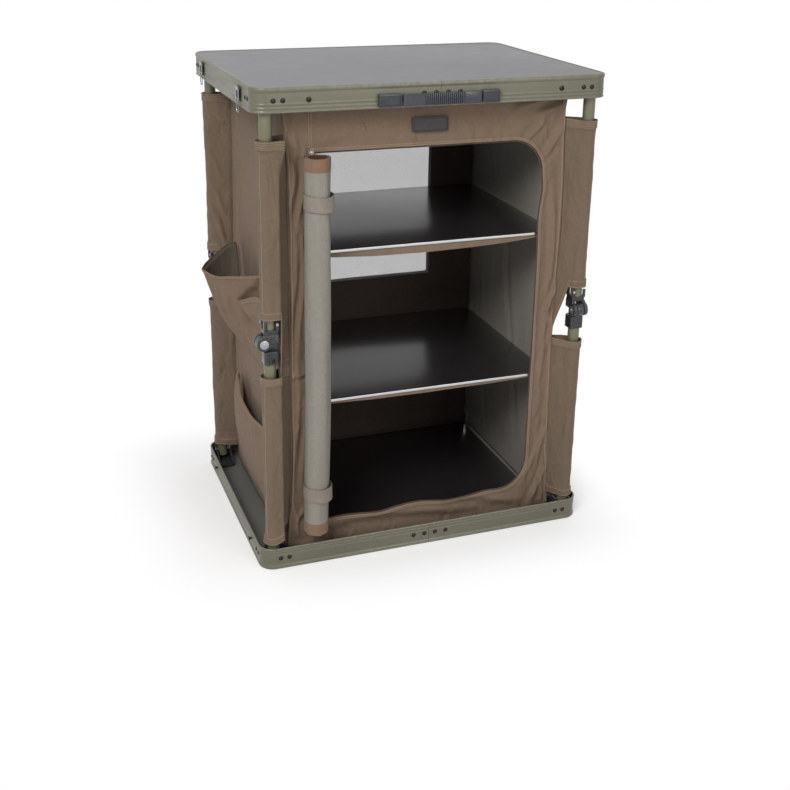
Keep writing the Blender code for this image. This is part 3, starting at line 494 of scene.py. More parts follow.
# The leg tubes. Drawn aluminium tube, twenty millimetres across with a thin wall, powder-coated olive
# and satin, cut square and eased at the ends. Each turns on its bracket's pin and is pressed into a knuckle.
TUBE_RADIUS, TUBE_BORE = 0.0100, 0.0086
HALF_LEG = 0.3798
KNEE_HEIGHT = PIVOT_HEIGHT + HALF_LEG
TUBE_TAIL = 0.0100
TUBE_IN_KNUCKLE = 0.0180


def tube(low, high):
    """A tube along Z, spun from its wall's section."""
    bm = bmesh.new()
    soft = 0.0003
    section = [(TUBE_RADIUS, low + soft)]
    section += [(TUBE_RADIUS, low * (1 - share) + high * share) for share in (0.25, 0.5, 0.75)]
    section += [(TUBE_RADIUS, high - soft), (TUBE_RADIUS - soft, high)]
    section += [(TUBE_BORE, high), (TUBE_BORE, low), (TUBE_RADIUS - soft, low)]
    verts = [bm.verts.new((radius, 0, height)) for radius, height in section]
    edges = closed_line(bm, verts)
    spin_round(bm, verts + edges, 40)
    return bm


# The second colour is painted on the tubes' sharp edges: worn metal and painted highlight.
tube_coat = coated_metal("tube_coat", srgb(98, 95, 74), srgb(160, 158, 140), 0.36, 0.15, 0.45)
for corner in CORNERS:
    for half, low, high in (
        ("lower", PIVOT_HEIGHT - TUBE_TAIL, KNEE_HEIGHT - TUBE_IN_KNUCKLE),
        ("upper", KNEE_HEIGHT + TUBE_IN_KNUCKLE, KNEE_HEIGHT + HALF_LEG + TUBE_TAIL),
    ):
        bm = tube(low, high)
        bmesh.ops.transform(bm, matrix=leg_place(corner, 0), verts=bm.verts)
        name = half + "_tube_" + corner[0]
        leg = piece(name + "_coated", bm, [tube_coat], half + "_leg_" + corner[0], [name])

# The knuckles. Glass-filled black nylon in two halves: a socket with one tongue on the lower tube, and a
# clevis with two cheeks on the upper one, turning on a steel pin with disc heads, each held by a screw.
PIN_OFFSET = 0.0115
EYE_RADIUS = 0.0117


def eye_outline(radius, y):
    """A knuckle half from the side: a round eye about the pin, and the web down to its block."""
    points = []
    for k in range(19):
        angle = math.radians(-2 + 266 * k / 18)
        points.append((-PIN_OFFSET + radius * math.cos(angle), y, radius * math.sin(angle)))
    return points + [(-0.0111, y, -0.0150), (0.0120, y, -0.0150), (0.0120, y, -0.0004)]


def collar(bm, grow, low, high, edge):
    """A band round a knuckle's block, with round upright corners. It stands out on three sides: on the
    fourth the two halves lie against each other when the leg is folded."""
    near, far = (-0.0111 + 0.2 * grow, -0.0120 - grow, low), (0.0130 + grow, 0.0120 + grow, high)
    mesh = as_mesh(slab(near, far, 0.0042 + grow, edge), "collar")
    bm.from_mesh(mesh)
    bpy.data.meshes.remove(mesh)


def socket_half():
    """The lower half: a tongue, and a ribbed block that grips the tube, with a lip at its foot."""
    bm = bmesh.new()
    collar(bm, 0.0, -0.0360, -0.0139, 0.0009)
    for z in (-0.0178, -0.0210, -0.0242, -0.0274, -0.0306):
        collar(bm, 0.0008, z - 0.0007, z + 0.0007, 0.0004)
    collar(bm, 0.0009, -0.0362, -0.0338, 0.0008)
    plate(bm, eye_outline(EYE_RADIUS - 0.0006, -0.0060), (0, 0.0120, 0), 0.0006)
    return bm


def clevis_half():
    """The upper half, drawn as the lower one and turned over: two cheeks, a short ribbed block, and four
    horns that stand up round the tube, which shows between them."""
    bm = bmesh.new()
    collar(bm, 0.0004, -0.0224, -0.0139, 0.0009)
    for z in (-0.0168, -0.0200):
        collar(bm, 0.0009, z - 0.0007, z + 0.0007, 0.0004)
    for x0, x1 in ((-0.0112, -0.0073), (0.0073, 0.0134)):
        for y0, y1 in ((-0.0128, -0.0073), (0.0073, 0.0128)):
            block(bm, (x0, y0, -0.0360), (x1, y1, -0.0205), 0.0018, 3)
    for y in (-0.0128, 0.0070):
        plate(bm, eye_outline(EYE_RADIUS, y), (0, 0.0058, 0), 0.0007)
    ribs = bmesh.new()
    block(ribs, (-0.0017, -0.0006, -0.0005), (0.0017, 0.0006, 0.0005), 0.0002, 1)
    rib = as_mesh(ribs, "rib")
    for sy in (-1, 1):
        for step in range(11):
            angle = math.radians(62 + 19 * step)
            spot = Vector((-PIN_OFFSET + 0.0098 * math.cos(angle), sy * 0.0129, 0.0098 * math.sin(angle)))
            stamp(bm, rib, Matrix.Translation(spot) @ Matrix.Rotation(-angle, 4, "Y"))
        for step in range(12):
            spot = Vector((0.0010 + 0.0040 * (step % 3), sy * 0.0129, -0.0030 - 0.0028 * (step // 3)))
            stamp(bm, rib, Matrix.Translation(spot) @ Matrix.Rotation(math.radians(38), 4, "Y"))
    bmesh.ops.scale(bm, vec=(1, 1, -1), verts=bm.verts)
    return bm


def knuckle_metal():
    """The pin, its two disc heads, and the screws that pin the tubes in their blocks."""
    bm = bmesh.new()
    face, head = 0.0131, 0.0144
    stamp(bm, turned((
        (0.0, -head), (0.0062, -head), (0.0073, -head + 0.0005), (0.0073, -face), (0.0034, -face),
        (0.0034, face), (0.0073, face), (0.0073, head - 0.0005), (0.0062, head), (0.0, head),
    ), 28), Matrix.Translation((-PIN_OFFSET, 0, 0)) @ Matrix.Rotation(math.pi / 2, 4, "X"))
    for side in (-1, 1):
        for part, spot, way, size in (
            (rivet, (-PIN_OFFSET, side * (head - 0.0004), 0), (0, side, 0), 0.8),
            (screw, (0.0104, side * 0.0129, 0.0316), (0, side, 0), 0.58),
            (screw, (0.0008 + side * 0.0127, 0.0100, 0.0316), (side, 0, 0), 0.58),
        ):
            stamp(bm, part, facing_out(spot, way) @ Matrix.Scale(size, 4))
    return bm


steel_heads = bright_steel("steel_heads", srgb(172, 173, 176), 0.42)
for corner in CORNERS:
    for node_name, body, made, finish, slot in (
        ("lower_socket_", "lower_leg_", socket_half(), black_nylon, "black_plastic"),
        ("upper_clevis_", "upper_leg_", clevis_half(), black_nylon, "black_plastic"),
        ("knuckle_pin_", "upper_leg_", knuckle_metal(), steel_heads, "steel"),
    ):
        bmesh.ops.transform(made, matrix=leg_place(corner, KNEE_HEIGHT), verts=made.verts)
        name = node_name + corner[0]
        piece(name + "_moulding", made, [finish], body + corner[0], [name])
    bm = bmesh.new()
    for side in (-1, 1):
        stamp(bm, screw, facing_out((0.0030, side * 0.0126, -0.0290), (0, side, 0)) @ Matrix.Scale(0.72, 4))
    bmesh.ops.transform(bm, matrix=leg_place(corner, KNEE_HEIGHT), verts=bm.verts)
    piece("socket_screws_" + corner[0], bm, [dark_steel], "lower_leg_" + corner[0])

# The carrying handle. Two moulded end caps on the top tray's front rail, with a sunk field in each face,
# and a strap of softer plastic between them: smooth at its left, ribbed in the middle, with a raised
# grip at its right. It bows a little off the rail, so that fingers pass behind it.
HANDLE_LEVEL = 0.7890
HANDLE_BACK = 0.0005 - DEPTH / 2
CAP_HALF, CAP_DEPTH = 0.01025, 0.0085
STRAP_ENDS = (-0.0632, 0.0677)
STRAP_HALF, STRAP_BACK, STRAP_THICKNESS, STRAP_BOW = 0.00925, -0.2275, 0.0028, 0.0020
RIBS, RIB_START, RIB_PITCH = 19, -0.0265, 0.0034
GRIP = (0.0376, 0.0665)
RIB_HALF, GRIP_HALF = 0.0088, 0.0098


def handle_cap(left, right):
    """An end cap, with its sunk field."""
    bm = bmesh.new()
    low = (left, HANDLE_BACK - CAP_DEPTH, HANDLE_LEVEL - CAP_HALF)
    block(bm, low, (right, HANDLE_BACK, HANDLE_LEVEL + CAP_HALF), 0.0022, 3)
    bm.normal_update()
    front = min(bm.faces, key=lambda face: face.normal.y * face.calc_area())
    bmesh.ops.inset_region(bm, faces=[front], thickness=0.0012)
    bmesh.ops.inset_region(bm, faces=[front], thickness=0.0006, depth=-0.0010)
    return bm


def strap_face(x):
    """How far forward the strap's face is at a place along it."""
    share = (x - STRAP_ENDS[0]) / (STRAP_ENDS[1] - STRAP_ENDS[0])
    return STRAP_BACK - STRAP_THICKNESS - STRAP_BOW * math.sin(math.pi * share)


def handle_strap():
    """The strap: its section pushed along step by step as it bows, and its ribs and grip."""
    bm = bmesh.new()
    edge, deep = 0.0007, STRAP_THICKNESS
    start, face = STRAP_ENDS[0], strap_face(STRAP_ENDS[0])
    section = [bm.verts.new((start, face + y, HANDLE_LEVEL + z * STRAP_HALF)) for y, z in (
        (edge, -1), (deep - edge, -1), (deep, -0.92), (deep, 0.92),
        (deep - edge, 1), (edge, 1), (0, 0.92), (0, -0.92),
    )]
    edges = closed_line(bm, section)
    bm.faces.new(section)
    steps = 40
    pitch = (STRAP_ENDS[1] - STRAP_ENDS[0]) / steps
    for k in range(steps):
        verts, edges = extruded(bm, edges)
        x = STRAP_ENDS[0] + k * pitch
        bmesh.ops.translate(bm, vec=(pitch, strap_face(x + pitch) - strap_face(x), 0), verts=verts)
    bmesh.ops.edgeloop_fill(bm, edges=edges)
    for k in range(RIBS):
        x = RIB_START + k * RIB_PITCH
        front = strap_face(x)
        low = (x - 0.0010, front - 0.0019, HANDLE_LEVEL - RIB_HALF)
        block(bm, low, (x + 0.0010, front + 0.0008, HANDLE_LEVEL + RIB_HALF), 0.0005)
    front = strap_face(GRIP[0])
    low = (GRIP[0], front - 0.0010, HANDLE_LEVEL - GRIP_HALF)
    block(bm, low, (GRIP[1], front + 0.0026, HANDLE_LEVEL + GRIP_HALF), 0.0014, 3)
    return bm


handle_plastic = moulded("handle_plastic", srgb(31, 34, 40), 0.22, 500.0, 0.00005, 0.55)
for side, ends in (("left", (-0.1030, -0.0655)), ("right", (0.0700, 0.1000))):
    name = "handle_cap_" + side
    cap = piece(name + "_moulding", handle_cap(*ends), [handle_plastic], "top_tray", [name])
grip = piece("handle_grip", handle_strap(), [handle_plastic], "top_tray", ["handle_strap"])

# The four latches. Each is a plate riveted on the top tray's side, a pressed steel flap that swings on
# it, and a loop of spring wire that hooks over a headed stud on the base tray when the cupboard is shut.
LATCH_Y = 0.140
LATCH_AXIS = 0.8040
FLAP_FACES = (0.3005, 0.3039)
WIRE_RADIUS = 0.0008


def wire(bm, points, radius, sides=8):
    """A round wire: a circle carried along a line of points, turned as the line turns, with closed ends."""
    points = [Vector(point) for point in points]
    count = len(points)
    ways = [(points[min(k + 1, count - 1)] - points[max(k - 1, 0)]).normalized() for k in range(count)]
    turn = ways[0].to_track_quat("Z", "Y")
    place = Matrix.Translation(points[0]) @ turn.to_matrix().to_4x4()
    made = bmesh.ops.create_circle(bm, cap_ends=True, segments=sides, radius=radius, matrix=place)["verts"]
    edges = list({edge for vert in made for edge in vert.link_edges})
    for k in range(1, count):
        verts, edges = extruded(bm, edges)
        spun = ways[k - 1].rotation_difference(ways[k]).to_matrix().to_4x4()
        step = Matrix.Translation(points[k]) @ spun @ Matrix.Translation(-points[k - 1])
        bmesh.ops.transform(bm, matrix=step, verts=verts)
    bmesh.ops.edgeloop_fill(bm, edges=edges)


def to_latch(bm, sx, sy):
    """Takes a part drawn on the right side, at the middle of its length, to one of the four latches."""
    bmesh.ops.scale(bm, vec=(sx, 1, 1), verts=bm.verts)
    bmesh.ops.translate(bm, vec=(0, sy * LATCH_Y, 0), verts=bm.verts)


def latch_flap(sx, sy):
    """The flap with its sunk face painted black as shadow, its rolled eye, its two lugs, and the wire loop
    that hangs from them.
    """
    bm = bmesh.new()
    inner, outer = FLAP_FACES
    middle = (inner + outer) / 2
    low = (inner + 0.0006, -0.0100, LATCH_AXIS - 0.0170)
    block(bm, low, (outer - 0.0008, 0.0100, LATCH_AXIS - 0.0012), 0.0006)
    bm.normal_update()
    front = max(bm.faces, key=lambda face: face.normal.x * face.calc_area())
    bmesh.ops.inset_region(bm, faces=[front], thickness=0.0022)
    bmesh.ops.inset_region(bm, faces=[front], thickness=0.0003, depth=-0.0012)
    # The sunk face takes a black finish: painted shadow.
    front.material_index = 1
    wire(bm, [(middle, y, LATCH_AXIS) for y in (-0.0102, -0.0050, 0.0050, 0.0102)], 0.0017, 14)
    for y in (-0.0073, 0.0073):
        low = (inner + 0.0005, y - 0.0020, LATCH_AXIS - 0.0200)
        block(bm, low, (outer - 0.0001, y + 0.0020, LATCH_AXIS - 0.0150), 0.0008)
    bend, foot = 0.0030, LATCH_AXIS - 0.0370
    loop = [(0.0065, LATCH_AXIS - 0.0160), (0.0065, foot + bend)]
    loop += [(0.0035 + bend * math.cos(a), foot + bend - bend * math.sin(a)) for a in (0.4, 0.8, 1.2, 1.57)]
    loop += [(-y, z) for y, z in reversed(loop)]
    wire(bm, [(middle, y, z) for y, z in loop], WIRE_RADIUS)
    to_latch(bm, sx, sy)
    return bm


def latch_plate(sx, sy):
    """The plate behind the flap, with the heads of its two rivets."""
    bm = bmesh.new()
    block(bm, (0.2986, -0.0120, 0.7840), (0.3001, 0.0120, 0.8055), 0.0004)
    for y in (-0.0095, 0.0095):
        stamp(bm, rivet, facing_out((0.3000, y, 0.7865), (1, 0, 0)) @ Matrix.Scale(0.5, 4))
    to_latch(bm, sx, sy)
    return bm


latch_steel = bright_steel("latch_steel", srgb(150, 152, 156), 0.24)
# A black for the flaps' sunk faces, which is painted shadow.
painted_slot_shadow = moulded("painted_slot_shadow", srgb(24, 24, 25), 0.50, 900.0, 0.00003, 0.3)
stud = turned((
    (0.0, 0.0), (0.0022, 0.0), (0.0022, 0.0034), (0.0037, 0.0035), (0.0040, 0.0038), (0.0040, 0.0044),
    (0.0034, 0.0049), (0.0, 0.0050),
))
for name, sx, sy, _ in CORNERS:
    latch = "latch_" + name
    flap = piece("latch_flap_" + name, latch_flap(sx, sy), [latch_steel, painted_slot_shadow], latch, [latch])
    piece("latch_plate_" + name, latch_plate(sx, sy), [dark_steel], "top_tray")
    bm = bmesh.new()
    stamp(bm, stud, facing_out((sx * 0.2993, sy * LATCH_Y, RIVET_LEVEL), (sx, 0, 0)))
    piece("catch_stud_" + name, bm, [dark_steel], "base", ["catch_" + name])

# The three boards. Thin composite boards with round corners, faced with black laminate and edged with a
# bright aluminium band. Two are shelves, and the third lies on the cabinet's floor.
BOARD_HALF_X, BOARD_HALF_Y, BOARD_THICKNESS, BOARD_CORNER = 0.2400, 0.1825, 0.0045, 0.020
SHELVES = (("upper", 0.544, 0.0120), ("middle", 0.283, 0.0050))
FLOOR_BOARD_TOP = 0.022
black_laminate = laminate(
    "black_laminate", srgb(31, 28, 29), srgb(33, 31, 32), 0.26, 900.0, 0.000001, 1.0, 0.006,
)
lacquer = black_laminate.node_tree.nodes["Principled BSDF"].inputs
lacquer["Coat Weight"].default_value, lacquer["Coat Roughness"].default_value = 0.7, 0.16
edge_band = bright_steel("edge_band", srgb(206, 207, 206), 0.30, (0.03, 0.03, 1.0))
boards = [(shelf + "_shelf", top, shelf + "_shelf") for shelf, top, _ in SHELVES]
for name, top, body in boards + [("bottom_board", FLOOR_BOARD_TOP, "base")]:
    low = (-BOARD_HALF_X, -BOARD_HALF_Y, top - BOARD_THICKNESS)
    bm = slab(low, (BOARD_HALF_X, BOARD_HALF_Y, top), BOARD_CORNER, 0.0006, 1)
    piece(name + "_laminate", bm, [black_laminate, edge_band], body, [name])

# The shelf slings. A width of the brown cloth under each shelf, caught along its left and right sides,
# turned down in front, and hanging slack in the middle, so that its front edge shows under the board.
CLOTH = 0.0011
HEM_STEP = 0.0012


def woven(name, colour, other, sheen=0.08, roughness=0.86, crumple=0.0090):
    """Coated polyester cloth: a plain weave of doubled threads, uneven in tone, softly crumpled."""
    made, tree, shader, place = new_finish(name, roughness, specular=0.25)
    flat = node(tree, "TexCoord").outputs["UV"]
    wavy = {"Vector": flat, "Scale": 430.0, "Distortion": 0.6, "Detail": 1.0}
    threads = [node(tree, "TexWave", wavy, bands_direction=way).outputs["Fac"] for way in ("X", "Y")]
    chequer = node(tree, "TexChecker", {
        "Vector": flat, "Scale": 2740.0, "Color1": (1, 1, 1, 1), "Color2": (0, 0, 0, 1),
    })
    height = between(tree, chequer.outputs["Fac"], *threads)
    drift = between(tree, speckle(tree, place, 5.0, 0.0, 1.0, 2.0), colour, other)
    slub = speckle(tree, flat, 700.0, 0.0, 0.34, 2.0, (1.0, 0.12, 1.0))
    slub = sums(tree, slub, speckle(tree, flat, 700.0, 0.0, 0.34, 2.0, (0.12, 1.0, 1.0)))
    gloss = speckle(tree, place, 120.0, roughness - 0.06, roughness + 0.06)
    paint(tree, shader, between(tree, slub, drift, shade(colour, 0.62)), gloss)
    shader.inputs["Sheen Weight"].default_value = sheen
    shader.inputs["Sheen Roughness"].default_value = 0.45
    leaning = {"Vector": place, "Rotation": (0.0, 0.35, 0.0), "Scale": (1.0, 1.0, 0.5)}
    creases = node(tree, "Mapping", leaning)
    creases = node(tree, "TexNoise", {
        "Vector": creases.outputs["Vector"], "Scale": 26.0, "Detail": 4.0, "Roughness": 0.45,
        "Distortion": 0.9,
    })
    crumpled = node(tree, "Bump", {"Height": creases.outputs["Fac"], "Distance": crumple, "Strength": 1.0})
    relief(tree, shader, height, 0.00012, crumpled.outputs["Normal"])
    return made


def spaced(length, pitch, hems=(0.0, 0.0)):
    """Places along a length at an even pitch, with close ones where a hem's edge steps at either end."""
    def close(width):
        """The close places from a hem's fold to its edge."""
        return [0.0, 0.0008, width / 2, width - 0.0005, width + 0.0005] if width else [0.0]
    first, last = close(hems[0]), [length - place for place in reversed(close(hems[1]))]
    steps = max(1, round((last[0] - first[-1]) / pitch))
    return first + [first[-1] + (last[0] - first[-1]) * k / steps for k in range(1, steps)] + last


def hem(place, length, widths):
    """How far a hem's second and third layer raise the cloth at a place along a length."""
    return HEM_STEP if place < widths[0] or place > length - widths[1] else 0.0


def lay_flat(bm, flat):
    """Gives each vertex its place in the flat cloth, in metres, as the UV of the weave."""
    layer = bm.loops.layers.uv.new("flat")
    for face in bm.faces:
        for loop in face.loops:
            loop[layer].uv = flat[loop.vert]


def cloth(name, bm, flat, finishes, body, replaced, outward, thickness=CLOTH):
    """Makes a cloth piece: its weave laid, its face turned outward, and its thickness given inward."""
    lay_flat(bm, flat)
    bmesh.ops.recalc_face_normals(bm, faces=bm.faces)
    if sum(f.normal.dot(outward(f.calc_center_median())) * f.calc_area() for f in bm.faces) < 0:
        bmesh.ops.reverse_faces(bm, faces=bm.faces)
    made = piece(name, bm, finishes, body, replaced, sharp=75, recalculated=False)
    wall = made.modifiers.new("thickness", "SOLIDIFY")
    wall.thickness = thickness
    wall.offset = -1.0
    wall.material_offset = 1
    return made


def always(*way):
    """The outward way of a cloth that faces one way all over."""
    return lambda middle: Vector(way)


def hung(us, vs, place):
    """A sheet of cloth at the places us and vs, in metres on the flat cloth, put where place(u, v) says."""
    bm = bmesh.new()
    columns, rows = len(us) - 1, len(vs) - 1
    bmesh.ops.create_grid(bm, x_segments=columns, y_segments=rows, size=0.5)
    flat = {}
    for vert in bm.verts:
        u, v = us[round((vert.co.x + 0.5) * columns)], vs[round((vert.co.y + 0.5) * rows)]
        flat[vert] = (u, v)
        vert.co = place(u, v)
    return bm, flat


def ruffle(u, v, seed):
    """Soft unevenness from -1 to 1, the same at each run."""
    return noise.noise(Vector((u, v, seed)))


def smooth(value, low, high):
    """A smooth step from 0 at low to 1 at high."""
    share = min(max((value - low) / (high - low), 0.0), 1.0)
    return share * share * (3 - 2 * share)


def hemmed(place, width):
    """How far a hem of a width raises the cloth at a place this far in, where the hem's edge is eased."""
    return HEM_STEP * (1 - smooth(place, width - 0.0005, width + 0.0005))


brown_cloth = woven("brown_cloth", srgb(122, 101, 85), srgb(111, 95, 78), 0.04)
dark_cloth = woven("dark_cloth", srgb(72, 61, 56), srgb(63, 54, 49), 0.05, crumple=0.0050)
SLING_X, SLING_Y = 0.2370, 0.1805
APRON, APRON_PLACES = 0.010, [0.0, 0.0015, 0.0040, 0.0065, 0.0085, 0.0098]
for name, top, sag in SHELVES:
    level = top - BOARD_THICKNESS - 0.0010

    def sling(u, v):
        """Where the sling's cut comes: its front edge turned down, and slack between its two held sides."""
        x = u - SLING_X
        drop = sag * (1 - abs(x / SLING_X) ** 2.2)
        drop += 0.0008 * ruffle(u * 14, v * 6, top) * (1 - (x / SLING_X) ** 2)
        if v < APRON:
            return x, -SLING_Y - 0.0008, level - drop * smooth(v, 0.0, APRON)
        return x, -SLING_Y + (v - APRON), level - drop - 0.0003 * (1 - (x / SLING_X) ** 2)

    width, length = 2 * SLING_X, APRON + 2 * SLING_Y
    bm, flat = hung(spaced(width, 0.008), APRON_PLACES + spaced(length, 0.009)[2:], sling)
    made = cloth(
        name + "_sling_cloth", bm, flat, [brown_cloth, brown_cloth], name + "_shelf", [name + "_sling"],
        always(0, -0.2, -1),
    )

# The cabinet's front panel. One cut of brown cloth with a coated grey lining, with the door's opening
# in it, turned and stitched round the opening and at the edges. The cloth is drawn by its leg sleeves,
# so that it spreads towards the foot, and is creased at its upper corners and puckered at its lower ones.
WALL_Y = 0.186
WALL_FOOT, WALL_TOP = 0.0156, 0.8080
FRONT_LEFT_EDGE = (
    (0.0156, -0.2475), (0.044, -0.2445), (0.120, -0.2378), (0.218, -0.2355), (0.586, -0.2355),
    (0.680, -0.2370), (0.742, -0.2425), (0.765, -0.2455), (0.808, -0.2465),
)
FRONT_RIGHT_EDGE = (
    (0.0156, 0.2530), (0.044, 0.2512), (0.120, 0.2463), (0.234, 0.2440), (0.348, 0.2418),
    (0.392, 0.2412), (0.426, 0.2430), (0.515, 0.2434), (0.600, 0.2440), (0.651, 0.2430),
    (0.735, 0.2392), (0.748, 0.2385), (0.769, 0.2412), (0.808, 0.2425),
)
DOOR = (-0.1990, 0.0620, 0.2025, 0.7070)
DOOR_CORNERS = (0.010, 0.058, 0.055, 0.010)
OPENING_HEM = 0.0066
PANEL_CUT = (-0.2470, WALL_FOOT, 0.2470, WALL_TOP)
FRONT_FOLDS = (
    ((0.240, 0.775), (0.193, 0.742), 0.0050, 0.0068), ((0.200, 0.746), (0.174, 0.704), 0.0046, 0.0058),
    ((0.238, 0.745), (0.209, 0.672), 0.0052, 0.0054), ((0.228, 0.792), (0.150, 0.752), 0.0060, 0.0036),
    ((0.233, 0.690), (0.208, 0.655), 0.0042, 0.0028), ((0.222, 0.640), (0.231, 0.350), 0.0060, 0.0032),
    ((0.231, 0.560), (0.227, 0.260), 0.0048, 0.0026), ((0.240, 0.452), (0.229, 0.398), 0.0042, 0.0056),
    ((0.233, 0.395), (0.239, 0.335), 0.0042, 0.0044), ((0.247, 0.120), (0.220, 0.020), 0.0050, 0.0058),
    ((0.233, 0.075), (0.245, 0.014), 0.0040, 0.0046), ((0.230, 0.160), (0.203, 0.072), 0.0052, 0.0036),
    ((0.241, 0.210), (0.231, 0.100), 0.0042, 0.0034), ((-0.246, 0.750), (-0.214, 0.712), 0.0050, 0.0066),
    ((-0.236, 0.702), (-0.208, 0.712), 0.0046, 0.0036), ((-0.229, 0.694), (-0.235, 0.600), 0.0052, 0.0042),
    ((-0.211, 0.696), (-0.218, 0.590), 0.0044, 0.0040), ((-0.244, 0.790), (-0.218, 0.762), 0.0052, 0.0034),
    ((-0.227, 0.590), (-0.233, 0.400), 0.0056, 0.0036), ((-0.214, 0.570), (-0.219, 0.380), 0.0044, 0.0030),
    ((-0.237, 0.328), (-0.214, 0.342), 0.0042, 0.0034), ((-0.226, 0.370), (-0.231, 0.120), 0.0056, 0.0036),
    ((-0.213, 0.300), (-0.216, 0.130), 0.0044, 0.0026), ((-0.230, 0.064), (-0.198, 0.096), 0.0046, 0.0036),
    ((-0.242, 0.110), (-0.222, 0.030), 0.0046, 0.0042), ((-0.190, 0.050), (0.120, 0.046), 0.0090, 0.0044),
    ((0.040, 0.060), (0.196, 0.042), 0.0080, 0.0036), ((-0.130, 0.040), (-0.122, 0.018), 0.0060, 0.0016),
    ((0.052, 0.036), (0.060, 0.018), 0.0060, 0.0016), ((-0.180, 0.726), (-0.030, 0.735), 0.0090, 0.0018),
    ((0.030, 0.770), (0.150, 0.780), 0.0110, 0.0018),
)


def along(table, place):
    """A value read off a table of (place, value), in straight runs."""
    for (start, one), (end, other) in zip(table, table[1:]):
        if place <= end:
            break
    return one + (other - one) * (place - start) / (end - start)


def folds(table, u, v):
    """The height of the folds that cross a place: each a soft ridge from one point to another."""
    height = 0.0
    for (u0, v0), (u1, v1), width, rise in table:
        length = math.hypot(u1 - u0, v1 - v0)
        share = ((u - u0) * (u1 - u0) + (v - v0) * (v1 - v0)) / length ** 2
        off = ((u - u0) * (v1 - v0) - (v - v0) * (u1 - u0)) / length
        off += width * 0.8 * math.sin(5 * share)
        if abs(off) < 4 * width and -0.25 < share < 1.25:
            ends = smooth(share, -0.2, 0.25) * (1 - smooth(share, 0.75, 1.2))
            across = math.exp(-(off / width) ** 2) - 0.45 * math.exp(-((off / width - 1.9) / 1.1) ** 2)
            height += rise * ends * across
    return height


def matched_outlines(box, corners, outer, pitch):
    """Points round an opening with round corners, from its foot, and the panel's edge opposite to each."""
    left, foot, right, top = box
    points = ((left, foot), (right, foot), (right, top), (left, top))
    pairs = []
    for k, (cu, cv) in enumerate(points):
        su, sv = (1 if k in (0, 3) else -1), (1 if k < 2 else -1)
        radius = corners[k]
        bend = Vector((cu + su * radius, cv + sv * radius))
        end = Vector((outer[0] if k in (0, 3) else outer[2], outer[1] if k < 2 else outer[3]))
        starts = [Vector((end.x, bend.y)), end, Vector((bend.x, end.y))]
        if k % 2:
            starts.reverse()
        steps = max(4, round(radius * math.pi / 2 / pitch))
        for i in range(steps + 1):
            angle = math.radians(180 + 90 * k + 90 * i / steps)
            share = 2 * i / steps
            half = int(share > 1)
            opposite = starts[half].lerp(starts[half + 1], share - half)
            pairs.append((bend + Vector((math.cos(angle), math.sin(angle))) * radius, opposite))
        following, reach = points[(k + 1) % 4], corners[(k + 1) % 4]
        if k % 2 == 0:
            final = Vector((following[0] - su * reach, cv)), Vector((following[0] - su * reach, end.y))
        else:
            final = Vector((cu, following[1] - sv * reach)), Vector((end.x, following[1] - sv * reach))
        first = pairs[-1]
        steps = round((final[0] - first[0]).length / pitch)
        for i in range(1, steps):
            pairs.append(tuple(one.lerp(other, i / steps) for one, other in zip(first, final)))
    return pairs


def ringed(pairs, widths, steps, place):
    """A panel grown outward from its opening, ring by ring: first at the widths given, then evenly."""
    bm = bmesh.new()
    layer = bm.verts.layers.int.new("pair")
    verts = [bm.verts.new((0, 0, 0)) for _ in pairs]
    edges = closed_line(bm, verts)
    for k, vert in enumerate(verts):
        vert[layer] = k
    flat = {}

    def put(ring, share, width):
        """Puts a ring at a width from the opening, or at a share of what is left beyond the last width."""
        for vert in ring:
            inner, outer = pairs[vert[layer]]
            reach = (outer - inner).length
            start = widths[-1] / reach
            if width is None:
                flat[vert] = inner.lerp(outer, start + (1 - start) * share)
            else:
                flat[vert] = inner.lerp(outer, width / reach)
            vert.co = place(*flat[vert], width if width is not None else 1.0)

    put(verts, 0.0, widths[0])
    for k in range(1, len(widths) + steps):
        verts, edges = extruded(bm, edges)
        if k < len(widths):
            put(verts, 0.0, widths[k])
        else:
            put(verts, (k - len(widths) + 1) / steps, None)
    return bm, flat


def front_face(x, z):
    """The front cloth's face at a place, without the hem of the opening."""
    swell = 0.0016 * math.sin(math.pi * min(max((z - WALL_FOOT) / (WALL_TOP - WALL_FOOT), 0), 1))
    rough = 0.0012 * ruffle(x * 24, z * 10, 1.7) + 0.0005 * ruffle(x * 80, z * 40, 4.1)
    turned_back = 0.0040 * smooth(x, 0.208, 0.243) * smooth(z, 0.560, 0.430)
    return -WALL_Y - swell - rough - folds(FRONT_FOLDS, x, z) + turned_back


def panel_on_front(u, v, width):
    """Where the cut's point (u, v) comes: the sides drawn out by the sleeves, the hem's lower edge waving."""
    edges = along(FRONT_LEFT_EDGE, v), along(FRONT_RIGHT_EDGE, v)
    if u < DOOR[0]:
        u = DOOR[0] + (u - DOOR[0]) * (edges[0] - DOOR[0]) / (PANEL_CUT[0] - DOOR[0])
    elif u > DOOR[2]:
        u = DOOR[2] + (u - DOOR[2]) * (edges[1] - DOOR[2]) / (PANEL_CUT[2] - DOOR[2])
    sunk = 1 - smooth(abs(v - DOOR[1]), 0.0, 0.040)
    share = min(max((u - DOOR[0]) / (DOOR[2] - DOOR[0]), 0.0), 1.0)
    waves = 0.0028 * math.sin(5.5 * math.pi * share) * smooth(share, 0, 0.4)
    v += waves * sunk * (1 - smooth(share, 0.8, 1.0))
    slack_edge = 0.0038 * math.exp(-((v - 0.622) / 0.024) ** 2)
    slack_edge -= 0.0016 * math.exp(-((v - 0.560) / 0.030) ** 2)
    u += slack_edge * smooth(u, 0.150, DOOR[2]) * (1 - smooth(u, DOOR[2] + 0.006, DOOR[2] + 0.034))
    edge = min(u - edges[0], edges[1] - u)
    seam = 0.0022 * smooth(0.0070 - edge, 0.0, 0.0050)
    lift = hemmed(width, OPENING_HEM) + seam + (0.0004 if width < 1 else 0.0)
    return Vector((u, front_face(u, v) - lift, v))


